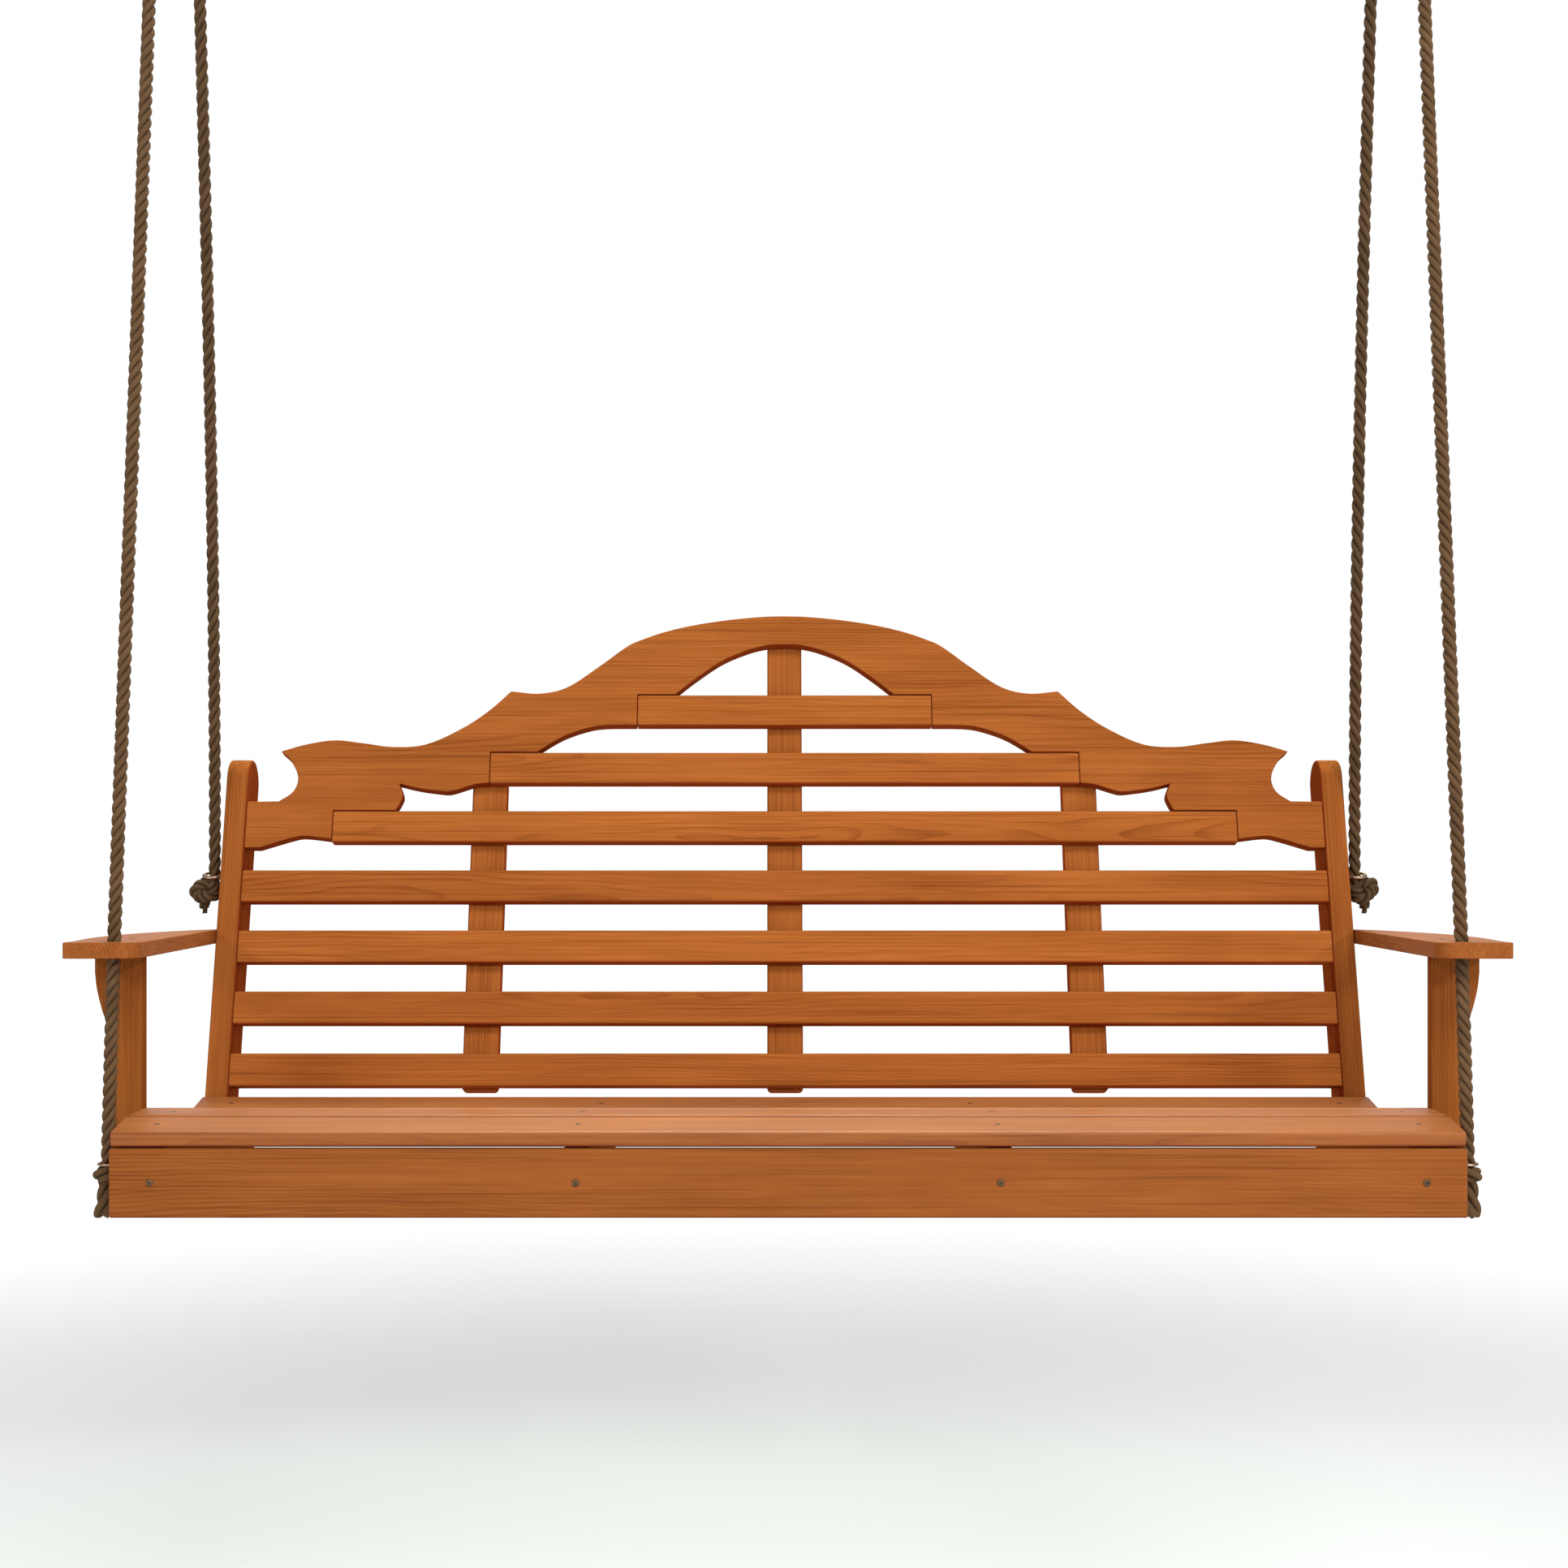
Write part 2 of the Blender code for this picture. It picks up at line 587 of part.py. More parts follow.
def add_hook(name, side, hook, body):
    """A ceiling plate with a round hook under it, open towards its own end of the bench."""
    width, depth, thickness = PLATE_SIZE
    ceiling = Vector((hook.x, hook.y, CEILING))
    section = rounded_rectangle(width, depth, (0.006,) * 4)
    outline = [(hook.x - width / 2 + x, hook.y - depth / 2 + y) for x, y in section]
    plate = extrude(name, outline, lambda p: (*p, CEILING), lambda p: (*p, CEILING - thickness))
    place(plate, body, "hook_steel")
    bowl = [hook + Vector((side * x, 0, y))
            for x, y in arc((0, HOOK_BOWL), HOOK_BOWL, 130, HOOK_TIP_ANGLE, 14)]
    shank_foot = hook + Vector((0, 0, 2 * HOOK_BOWL + 0.006))
    path = [ceiling - Vector((0, 0, thickness / 2)), shank_foot, *bowl]
    bar = sweep(f"{name}_bar", path, Vector((0, 1, 0)), HOOK_WIRE)
    combine(plate, bar, "UNION", body)


def add_front_knot(name, side, seat):
    """Stopper knot pulled up under the front eye, with its short tail hanging."""
    centre = Vector((side * 0.7764, FRONT_EYE[0] - 0.001, 0.0442))
    knot = place(turned(name, centre, (0.0147, 0.0190, 0.0082)), seat, "rope")
    tail = [Vector((side * 0.7795, centre.y, 0.0440)), Vector((side * 0.7805, centre.y, -0.0038))]
    combine(knot, sweep(f"{name}_tail", tail, Vector((0, 1, 0)), 0.0088), "UNION", seat)


def add_rear_knot(name, side, seat):
    """Larger stopper knot under the rear eye; its neck is the rope's last stretch."""
    centre = Vector((side * 0.7850, REAR_EYE[0], 0.3584))
    knot = place(turned(name, centre, (0.0232, 0.0200, 0.0176)), seat, "rope")
    neck = [at(side, REAR_EYE) - Vector((0, 0, ROPE_BREAK)),
            at(side, (REAR_EYE[0], centre.z))]
    combine(knot, sweep(f"{name}_neck", neck, Vector((0, 1, 0)), ROPE_RADIUS), "UNION", seat)
    tail = [centre + Vector((side * 0.004, 0.004, 0)), centre + Vector((side * 0.005, 0.006, -0.032))]
    combine(knot, sweep(f"{name}_tail", tail, Vector((0, 1, 0)), 0.0065), "UNION", seat)


def add_ropes(ceiling, front_ropes, seat, rear_ropes):
    for name, side in SIDES:
        hook, hole = at(side, FRONT_HOOK, HOOK_X), at(side, ARM_HOLE)
        direction = (hook - hole).normalized()
        add_hook(f"front_hook_{name}", side, hook, ceiling)
        add_loop(f"front_loop_{name}", hook, direction, FRONT_LOOP_SLACK, front_ropes)
        add_rope(f"front_rope_{name}", rope_top(hook, direction), hole + direction * ROPE_BREAK,
                 front_ropes)
        eye = at(side, FRONT_EYE)
        below = (eye - hole).normalized()
        add_rope(f"front_tail_rope_{name}", hole + below * ROPE_BREAK, eye + below * 0.0019, seat)
        add_front_knot(f"front_knot_{name}", side, seat)

        hook, eye = at(side, REAR_HOOK, HOOK_X), at(side, REAR_EYE)
        direction = (hook - eye).normalized()
        add_hook(f"rear_hook_{name}", side, hook, ceiling)
        add_loop(f"rear_loop_{name}", hook, direction, REAR_LOOP_SLACK, rear_ropes)
        add_rope(f"rear_rope_{name}", rope_top(hook, direction), eye + direction * ROPE_BREAK,
                 rear_ropes)
        add_rear_knot(f"rear_knot_{name}", side, seat)


def build():
    clear_scene()
    ceiling = make_body("ceiling_group", ORIGIN.y, ORIGIN.z)
    front_ropes = make_body("front_ropes_group", *FRONT_HOOK)
    seat = make_body("seat_group", *ARM_HOLE)
    rear_ropes = make_body("rear_ropes_group", *REAR_EYE)
    add_front_rail(seat)
    add_seat_supports(seat)
    add_side_rails(seat)
    add_seat_slats(seat)
    add_uprights(seat)
    add_back_supports(seat)
    add_back_slats(seat)
    add_headboard(seat)
    add_arms(seat)
    add_arm_posts(seat)
    add_ropes(ceiling, front_ropes, seat, rear_ropes)


build()
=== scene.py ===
"""Looks of the five-foot porch swing seat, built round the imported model.

Shapes are drawn in the seat's own layout: x along the bench, depth backwards from the
front face of the front rail, height up from the rail's lower edge. ZERO is where that
layout's zero lies in the frame.
"""

import math
import random

import bmesh
import bpy
from mathutils import Matrix, Vector
from mathutils.geometry import interpolate_bezier


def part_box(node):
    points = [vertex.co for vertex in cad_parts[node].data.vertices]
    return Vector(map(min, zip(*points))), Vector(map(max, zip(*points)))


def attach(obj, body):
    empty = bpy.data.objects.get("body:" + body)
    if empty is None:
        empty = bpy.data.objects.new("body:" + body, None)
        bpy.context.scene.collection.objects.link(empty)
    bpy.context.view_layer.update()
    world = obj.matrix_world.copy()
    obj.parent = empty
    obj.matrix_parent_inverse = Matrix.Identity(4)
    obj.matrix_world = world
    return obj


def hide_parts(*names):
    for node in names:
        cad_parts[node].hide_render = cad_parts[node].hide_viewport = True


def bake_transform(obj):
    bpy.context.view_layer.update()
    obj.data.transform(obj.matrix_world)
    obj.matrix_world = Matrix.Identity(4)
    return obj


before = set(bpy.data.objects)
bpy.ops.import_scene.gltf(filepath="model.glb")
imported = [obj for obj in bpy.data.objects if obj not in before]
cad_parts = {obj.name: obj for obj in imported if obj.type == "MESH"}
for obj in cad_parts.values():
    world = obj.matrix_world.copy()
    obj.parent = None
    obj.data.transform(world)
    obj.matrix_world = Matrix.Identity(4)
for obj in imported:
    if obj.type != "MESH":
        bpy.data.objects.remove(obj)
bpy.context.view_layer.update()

RAIL_LOW, RAIL_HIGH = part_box("front_rail")
ZERO = Vector((0.0, RAIL_LOW.y, RAIL_LOW.z))
SIDES = (("left", -1), ("right", 1))

# ---------------------------------------------------------------- driving dimensions (metres)
RAIL_HALF_LENGTH = RAIL_HIGH.x
RAIL_HEIGHT = RAIL_HIGH.z - RAIL_LOW.z
RAIL_THICKNESS = RAIL_HIGH.y - RAIL_LOW.y
FRAME_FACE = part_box("side_rail_right")[1].x
SUPPORT_X = (0.7166, 0.2385)     # outer and inner seat supports

SEAT_SLAT_COUNT = 6
SEAT_SLAT_WIDTH = 0.0635
SEAT_SLAT_THICKNESS = 0.018
SEAT_SLAT_PITCH = 0.070
SEAT_CONTOUR = (                 # depth and height of the sitting surface
    (0.000, 0.0965), (0.060, 0.1066), (0.110, 0.1088), (0.160, 0.1060),
    (0.220, 0.0945), (0.290, 0.0815), (0.345, 0.0790), (0.415, 0.0915))

# Heights in the back are measured up its slope, from its foot.
RECLINE = math.radians(15.8)
BACK_FOOT = (0.4225, 0.0957)     # depth and height
BACK_BOARD = 0.019               # thickness of the slats, the headboard and the supports
BACK_SLAT_COUNT = 7
BACK_SLAT_HEIGHT = 0.0445
BACK_SLAT_PITCH = 0.0834
LOWEST_SLAT_TOP = 0.0516
BACK_HALF_WIDTH = 0.7309
NOTCH_GROOVE = 0.0007
HEADBOARD_NOTCHES = {            # slat: inner end of its notch, end of the slat, foot of the notch
    1: (0.1505, 0.2020, 0.508),
    2: (0.3386, 0.4022, 0.425),
    3: (0.5286, 0.6130, 0.345),
}
UPRIGHT_THICKNESS = 0.030
UPRIGHT_DEPTH = 0.0635
UPRIGHT_TOP = 0.4655
UPRIGHT_BOTTOM = -0.092
HEADBOARD_SCREW = 0.366          # height of the screws into the headboard's ends
BACK_SUPPORTS = (("left", -0.4036, 0.505), ("middle", 0.0, 0.655), ("right", 0.4036, 0.505))
BACK_SUPPORT_WIDTH = 0.0475
BACK_SUPPORT_FOOT = 0.004
GAP = 0.0003
SUNK = 0.0003                    # how deep a sunk screw's edge lies in the wood

ARM_TOP = 0.3078
ARM_THICKNESS = 0.0185
ARM_SLOPE = 0.0045
ARM_FRONT = 0.034
ARM_HOLE_RADIUS = 0.0110
POST_FRONT = 0.134
POST_THICKNESS = 0.019
POST_INNER = FRAME_FACE + 0.0005
POST_FOOT = 0.004
POST_SCREW_REACH = 0.0393        # from the post's inner face
POST_SCREW_HEIGHTS = (0.030, 0.055)
ARM_SCREW_X = (0.776, 0.803)

ROPE_REACH = 0.0082              # from the rope's middle to the crown of a strand
FRONT_LAY = 0.0425               # length of one full turn of a strand
REAR_LAY = 0.0510
STRAND_SHARE = 0.470             # a strand's radius as a share of the rope's
ROPE_X = 0.776
HOOK_X = 0.768
FRONT_EYE = (0.0432, 0.0549)
ARM_HOLE = (0.0666, 0.2985)
REAR_EYE = (0.534, 0.3787)
FRONT_HOOK = (0.2160, 1.680)
REAR_HOOK = (0.4100, 1.680)
CEILING = 1.740
REAR_BOW = 0.0050                # how far the rear ropes bow towards the middle of the bench
FRONT_EYE_RING = (0.7747, 0.0112, 0.0019)    # ring centre x, ring radius, wire radius
REAR_EYE_RING = (0.7770, 0.0134, 0.0021)
HOOK_WIRE = 0.0045
HOOK_BOWL = 0.0175
LOOP_RADIUS = 0.024
LOOP_THROAT = 0.0575
LOOP_THROAT_RADIUS = 0.0085
SPLICE_LENGTH = 0.052
SPLICE_REACH = (0.0112, 0.0082)  # next to the loop, and where it has tapered into the rope
FRONT_LOOP_SLACK = 0.0005
REAR_LOOP_SLACK = 0.0045
PLATE_SIZE = (0.080, 0.036, 0.005)
SCREW_HEIGHT = 0.0397
CORNER_STEPS = 6
SCREW_SIDES = 24
STRAND_SIDES = 12
BAR_SIDES = 20

CAMERA_PLACE = Vector((-0.0223, -2.500, 0.4152))
CAMERA_LENS = 51.17              # millimetres, on a sensor 36 mm wide
CAMERA_SHIFT = (0.0100, 0.0409)
FLOOR_HEIGHT = -0.62
FLOOR_GLOW_REACH = 8.0           # metres from the middle to the end of the glow's ramp
OVERHEAD_COLOUR = (0.88, 1.0, 0.89)    # takes some pink out of the sheen on the seat
# Directions of faces that the cedar darkens as painted shade.
DOWN = (0, 0, -1)
SIDEWAYS = ((-1, 0, 0), (1, 0, 0))


# ---------------------------------------------------------------- camera, light and floor
def add_camera():
    """Straight ahead, a little left of the bench's middle, level with its back."""
    camera = bpy.data.objects.new("camera", bpy.data.cameras.new("camera"))
    bpy.context.collection.objects.link(camera)
    camera.location = ZERO + CAMERA_PLACE
    camera.rotation_euler = (math.radians(90), 0, 0)
    camera.data.lens = CAMERA_LENS
    camera.data.sensor_width = 36.0
    camera.data.shift_x, camera.data.shift_y = CAMERA_SHIFT
    bpy.context.scene.camera = camera


def add_area_light(name, place, target, size, power, spread=180, colour=(1.0, 1.0, 1.0)):
    """A soft light: where it stands, what it points at, its size, and how wide its beam is."""
    light = bpy.data.lights.new(name, "AREA")
    light.shape = "RECTANGLE"
    light.size, light.size_y = size
    light.energy = power
    light.color = colour
    light.spread = math.radians(spread)
    item = bpy.data.objects.new(name, light)
    bpy.context.collection.objects.link(item)
    item.location = ZERO + Vector(place)
    direction = Vector(target) - Vector(place)
    item.rotation_euler = direction.to_track_quat("-Z", "Y").to_euler()


def add_studio_air():
    """White behind the bench, dimmer all round it."""
    world = bpy.data.worlds.new("studio")
    world.use_nodes = True
    tree = world.node_tree
    direction = tree.nodes.new("ShaderNodeTexCoord")
    parts = tree.nodes.new("ShaderNodeSeparateXYZ")
    tree.links.new(direction.outputs["Generated"], parts.inputs[0])
    shade = ramp(tree, parts.outputs["Y"], ((0.70, 0.26), (0.84, 1.0)))
    tree.links.new(shade, tree.nodes["Background"].inputs["Color"])
    tree.nodes["Background"].inputs["Strength"].default_value = 1.0
    bpy.context.scene.world = world


def add_light():
    bpy.context.scene.view_settings.view_transform = "Standard"
    add_studio_air()
    add_area_light("right_key", (4.4, -6.4, 2.80), (0, 0.2, 0.27), (1.2, 0.5), 190)
    add_area_light("left_key", (-4.4, -6.4, 2.80), (0, 0.2, 0.27), (1.2, 0.5), 132)
    add_area_light("high_front", (1.8, -4.8, 5.4), (0.1, 0.4, 0.35), (4.0, 2.0), 330)
    add_area_light("overhead", (0, 1.4, 3.0), (0, 0.1, 0), (2.4, 0.8), 34, 75,
                   OVERHEAD_COLOUR)


def add_floor():
    bpy.ops.mesh.primitive_plane_add(size=60, location=ZERO + Vector((0, 0.3, FLOOR_HEIGHT)))
    floor = bpy.context.object
    floor.name = "floor"
    material, shader, tree = new_material("pale_floor")
    shader.inputs["Base Color"].default_value = (0.50, 0.50, 0.50, 1.0)
    shader.inputs["Roughness"].default_value = 0.9
    # The floor glows: painted light, dim round the bench and rising to near white far off.
    shader.inputs["Emission Strength"].default_value = 1.0
    place = tree.nodes.new("ShaderNodeTexCoord").outputs["Object"]
    distance = vector_measure(tree, "LENGTH", place)
    share = multiply_add(tree, distance, 1.0 / FLOOR_GLOW_REACH)
    glow = ramp(tree, share, ((0.10, 0.26), (0.55, 0.85)), "EASE")
    tree.links.new(glow, shader.inputs["Emission Color"])
    floor.data.materials.append(material)


# ---------------------------------------------------------------- materials
def new_material(name):
    material = bpy.data.materials.new(name)
    material.use_nodes = True
    tree = material.node_tree
    return material, tree.nodes["Principled BSDF"], tree


def connect(tree, value, socket):
    """A socket gets another node's output or a fixed value."""
    if isinstance(value, bpy.types.NodeSocket):
        tree.links.new(value, socket)
    else:
        socket.default_value = value


def maths_node(tree, kind, operation, values):
    """The outputs of a node that calculates something from numbers or vectors."""
    item = tree.nodes.new(kind)
    item.operation = operation
    for socket, value in zip(item.inputs, values):
        connect(tree, value, socket)
    return item.outputs


def calculated(tree, operation, *values):
    """A number from numbers."""
    return maths_node(tree, "ShaderNodeMath", operation, values)["Value"]


def vector_result(tree, operation, *values):
    """A vector from vectors."""
    return maths_node(tree, "ShaderNodeVectorMath", operation, values)["Vector"]


def vector_measure(tree, operation, *values):
    """A number from vectors, such as a length."""
    return maths_node(tree, "ShaderNodeVectorMath", operation, values)["Value"]


def multiply_add(tree, value, factor, offset=0.0):
    return calculated(tree, "MULTIPLY_ADD", value, factor, offset)


def scaled(tree, vector, scale):
    """A vector times one factor, or times its own factor along each axis."""
    return vector_result(tree, "MULTIPLY", vector, scale)


def noise(tree, source, scale, detail=2.0, roughness=0.5):
    texture = tree.nodes.new("ShaderNodeTexNoise")
    texture.inputs["Scale"].default_value = 1.0
    texture.inputs["Detail"].default_value = detail
    texture.inputs["Roughness"].default_value = roughness
    tree.links.new(scaled(tree, source, scale), texture.inputs["Vector"])
    return texture.outputs


def ramp(tree, source, stops, ease="LINEAR"):
    """Grey or coloured stops along a value."""
    item = tree.nodes.new("ShaderNodeValToRGB")
    item.color_ramp.interpolation = ease
    elements = item.color_ramp.elements
    while len(elements) < len(stops):
        elements.new(0.5)
    for element, (position, value) in zip(elements, stops):
        element.position = position
        colour = value if isinstance(value, tuple) else (value, value, value)
        element.color = (*colour, 1.0)
    tree.links.new(source, item.inputs["Fac"])
    return item.outputs["Color"]


def mixed(tree, factor, first, second, blend="MIX"):
    """Two colours mixed; the node keeps its colours in the sockets 6 and 7, out at 2."""
    item = tree.nodes.new("ShaderNodeMix")
    item.data_type = "RGBA"
    item.blend_type = blend
    for value, socket in zip((factor, first, second), (item.inputs[0], *item.inputs[6:8])):
        connect(tree, value, socket)
    return item.outputs[2]


def roughen(tree, shader, height, strength, distance):
    """Bumps on the surface from a height."""
    bump = tree.nodes.new("ShaderNodeBump")
    bump.inputs["Strength"].default_value = strength
    bump.inputs["Distance"].default_value = distance
    tree.links.new(height, bump.inputs["Height"])
    tree.links.new(bump.outputs["Normal"], shader.inputs["Normal"])


def cedar_group():
    """Growth rings, fibres and stain of one softwood board; x runs along the grain."""
    tree = bpy.data.node_groups.new("stained_cedar", "ShaderNodeTree")
    tree.interface.new_socket("Position", in_out="INPUT", socket_type="NodeSocketVector")
    tree.interface.new_socket("Tone", in_out="INPUT", socket_type="NodeSocketFloat")
    tree.interface.new_socket("Color", in_out="OUTPUT", socket_type="NodeSocketColor")
    tree.interface.new_socket("Roughness", in_out="OUTPUT", socket_type="NodeSocketFloat")
    tree.interface.new_socket("Height", in_out="OUTPUT", socket_type="NodeSocketFloat")
    entry = tree.nodes.new("NodeGroupInput")
    exit_node = tree.nodes.new("NodeGroupOutput")
    position = entry.outputs["Position"]

    drift = noise(tree, position, (1.9, 8.0, 8.0), 3.0)["Color"]
    wander = scaled(tree, drift, (0.0, 0.044, 0.044))
    bent = vector_result(tree, "ADD", position, wander)
    rings = tree.nodes.new("ShaderNodeTexWave")
    rings.wave_type = "RINGS"
    rings.rings_direction = "X"
    rings.wave_profile = "SAW"
    rings.inputs["Scale"].default_value = 78.0
    rings.inputs["Distortion"].default_value = 1.6
    rings.inputs["Detail"].default_value = 3.0
    rings.inputs["Detail Scale"].default_value = 0.5
    tree.links.new(scaled(tree, bent, (0.15, 1.0, 1.0)), rings.inputs["Vector"])
    latewood = ramp(tree, rings.outputs["Fac"],
                    ((0.0, 0.0), (0.55, 0.10), (0.86, 0.85), (0.94, 1.0), (1.0, 0.05)))
    clear = noise(tree, position, (1.9, 14.0, 14.0), 2.0)["Fac"]
    shown = ramp(tree, clear, ((0.40, 0.12), (0.70, 0.95)))
    lines = mixed(tree, 1.0, latewood, shown, "MULTIPLY")

    fibres = noise(tree, position, (7.0, 760.0, 760.0), 3.0, 0.6)["Fac"]
    streaks = noise(tree, position, (2.0, 240.0, 240.0), 3.0, 0.6)["Fac"]
    clouds = noise(tree, position, (3.6, 26.0, 26.0), 4.0, 0.6)["Fac"]
    dark = noise(tree, position, (2.2, 360.0, 360.0), 2.0, 0.55)["Fac"]
    dark_lines = ramp(tree, dark, ((0.0, 0.0), (0.58, 0.0), (0.66, 1.0)))

    depth = multiply_add(tree, lines, 0.20, -0.08)
    depth = multiply_add(tree, fibres, 0.36, depth)
    depth = multiply_add(tree, streaks, 0.34, depth)
    depth = multiply_add(tree, clouds, 0.44, depth)
    stain = ramp(tree, depth,
                 ((0.28, (0.430, 0.138, 0.0310)), (0.46, (0.350, 0.104, 0.0220)),
                  (0.62, (0.278, 0.078, 0.0155)), (0.82, (0.165, 0.042, 0.0085))))
    darkness = multiply_add(tree, dark_lines, 0.38)
    colour = mixed(tree, darkness, stain, (0.130, 0.034, 0.008, 1.0))
    toned = scaled(tree, colour, entry.outputs["Tone"])
    roughness = multiply_add(tree, fibres, 0.22, 0.36)
    height = multiply_add(tree, fibres, 0.6, multiply_add(tree, lines, 0.4))
    tree.links.new(toned, exit_node.inputs["Color"])
    tree.links.new(roughness, exit_node.inputs["Roughness"])
    tree.links.new(height, exit_node.inputs["Height"])
    return tree


CEDAR = cedar_group()


def facing(tree, normal, directions):
    """How squarely a face points in the nearest of some directions; 0 if in none of them."""
    most = 0.0
    for direction in directions:
        share = vector_measure(tree, "DOT_PRODUCT", normal, direction)
        most = calculated(tree, "MAXIMUM", share, most)
    return most


def cedar(name, along, centre, tone=1.0, gloss=0.0, shaded=(DOWN,)):
    """Stained softwood whose grain runs along a direction; each board has its own pattern.

    Faces towards the shaded directions are darker and redder: painted shade on undersides, on the
    inner faces of the uprights and on the cut edges of the headboard and back supports.
    """
    material, shader, tree = new_material(f"cedar_{name}")
    own = random.Random(name)
    turn = Vector(along).rotation_difference(Vector((1, 0, 0)))
    bearing = own.uniform(0, 2 * math.pi)
    pith = own.uniform(0.035, 0.080)
    shift = Vector((own.uniform(-5, 5), pith * math.cos(bearing), pith * math.sin(bearing)))
    coordinates = tree.nodes.new("ShaderNodeTexCoord")
    mapping = tree.nodes.new("ShaderNodeMapping")
    mapping.inputs["Rotation"].default_value = turn.to_euler()
    mapping.inputs["Location"].default_value = shift - turn @ Vector(centre)
    tree.links.new(coordinates.outputs["Object"], mapping.inputs["Vector"])
    grain = tree.nodes.new("ShaderNodeGroup")
    grain.node_tree = CEDAR
    # The tone is partly the board's own depth of stain and partly painted light and shade, set for
    # how brightly each part is lit.
    grain.inputs["Tone"].default_value = tone * own.uniform(0.96, 1.04)
    tree.links.new(mapping.outputs["Vector"], grain.inputs["Position"])
    towards = facing(tree, coordinates.outputs["Normal"], shaded)
    # painted shade: faces towards the shaded directions are darkened and reddened in the base
    # colour
    painted_shade = ramp(tree, towards, ((0.15, (1.0, 1.0, 1.0)), (0.75, (0.72, 0.42, 0.42))))
    colour = mixed(tree, 1.0, grain.outputs["Color"], painted_shade, "MULTIPLY")
    tree.links.new(colour, shader.inputs["Base Color"])
    tree.links.new(grain.outputs["Roughness"], shader.inputs["Roughness"])
    shader.inputs["Specular IOR Level"].default_value = gloss
    roughen(tree, shader, grain.outputs["Height"], 0.30, 0.0004)
    return material


def rope_material(name, tone):
    """Weathered fibre: yarns across each strand, with painted shade in the grooves between
    strands.
    """
    material, shader, tree = new_material(name)
    strand = tree.nodes.new("ShaderNodeUVMap")
    strand.uv_map = "strand"
    parts = tree.nodes.new("ShaderNodeSeparateXYZ")
    tree.links.new(strand.outputs["UV"], parts.inputs[0])
    around, along = parts.outputs["X"], parts.outputs["Y"]
    turns = multiply_add(tree, around, 11.0, multiply_add(tree, along, 9.0))
    yarn = calculated(tree, "SINE", multiply_add(tree, turns, 2 * math.pi))
    bearing = calculated(tree, "COSINE", multiply_add(tree, around, 2 * math.pi))
    outward = multiply_add(tree, bearing, 0.5, 0.5)
    coordinates = tree.nodes.new("ShaderNodeTexCoord").outputs["Object"]
    fuzz = noise(tree, coordinates, (900.0, 900.0, 900.0), 3.0, 0.6)["Fac"]
    patches = noise(tree, coordinates, (24.0, 24.0, 24.0), 2.0)["Fac"]
    value = multiply_add(tree, patches, 0.65, -0.10)
    value = multiply_add(tree, fuzz, 0.45, value)
    value = multiply_add(tree, yarn, 0.10, value)
    fibre = ramp(tree, value,
                 ((0.15, (0.105, 0.055, 0.024)), (0.50, (0.168, 0.091, 0.041)),
                  (0.85, (0.240, 0.134, 0.065))))
    # painted shade: the sides of each strand that turn in towards the grooves are darker
    groove_shade = ramp(tree, outward, ((0.15, 0.46 * tone), (0.55, 0.82 * tone), (0.90, tone)))
    colour = mixed(tree, 1.0, fibre, groove_shade, "MULTIPLY")
    tree.links.new(colour, shader.inputs["Base Color"])
    shader.inputs["Roughness"].default_value = 0.88
    shader.inputs["Specular IOR Level"].default_value = 0.15
    roughen(tree, shader, multiply_add(tree, yarn, 0.5, fuzz), 0.40, 0.0006)
    return material


def metal_material(name, light, dark, roughness, metallic):
    """Plated or painted metal with faint blotches and small scratches."""
    material, shader, tree = new_material(name)
    coordinates = tree.nodes.new("ShaderNodeTexCoord").outputs["Object"]
    blotches = noise(tree, coordinates, (260.0, 260.0, 260.0), 3.0, 0.6)["Fac"]
    scratches = noise(tree, coordinates, (1800.0, 240.0, 1800.0), 2.0)["Fac"]
    colour = ramp(tree, blotches, ((0.30, dark), (0.70, light)))
    tree.links.new(colour, shader.inputs["Base Color"])
    worn = multiply_add(tree, scratches, 0.18, roughness - 0.09)
    tree.links.new(worn, shader.inputs["Roughness"])
    shader.inputs["Metallic"].default_value = metallic
    shader.inputs["Specular IOR Level"].default_value = 0.2
    roughen(tree, shader, scratches, 0.2, 0.0001)
    return material


# Both are the same fibre; the rear copy's lower tone is painted shade.
FRONT_ROPE = rope_material("front_rope_fibre", 0.74)
REAR_ROPE = rope_material("rear_rope_fibre", 0.58)
# The eyes' copper tint is painted reflection of the wood round them.
ZINC = metal_material("eye_zinc", (0.56, 0.39, 0.27), (0.33, 0.21, 0.135), 0.36, 1.0)
SCREW = metal_material("screw_plating", (0.150, 0.080, 0.038), (0.070, 0.036, 0.017), 0.62, 0.1)
# Near black for the screws' cross recesses: painted shade in the hollows.
RECESS_SHADE = metal_material("painted_recess_shade", (0.020, 0.010, 0.006), (0.010, 0.005, 0.003),
                              0.8, 0.0)
SUNK_SCREW = metal_material("sunk_screw", (0.10, 0.045, 0.022), (0.045, 0.020, 0.010), 0.6, 0.2)
HOOK = metal_material("hook_coat", (0.035, 0.035, 0.038), (0.018, 0.018, 0.020), 0.48, 0.0)


# ---------------------------------------------------------------- outlines
def smooth_run(points, steps=8):
    """Points on a smooth curve that passes through each given point."""
    knots = [Vector((*point, 0.0)) for point in points]
    run = [knots[0]]
    for index in range(len(knots) - 1):
        start, end = knots[index], knots[index + 1]
        before = knots[max(index - 1, 0)]
        after = knots[min(index + 2, len(knots) - 1)]
        span = (end - start).length
        leave = (end - before).normalized() * span / 3
        arrive = (after - start).normalized() * span / 3
        run += interpolate_bezier(start, start + leave, end - arrive, end, steps + 1)[1:]
    return [(point.x, point.y) for point in run]


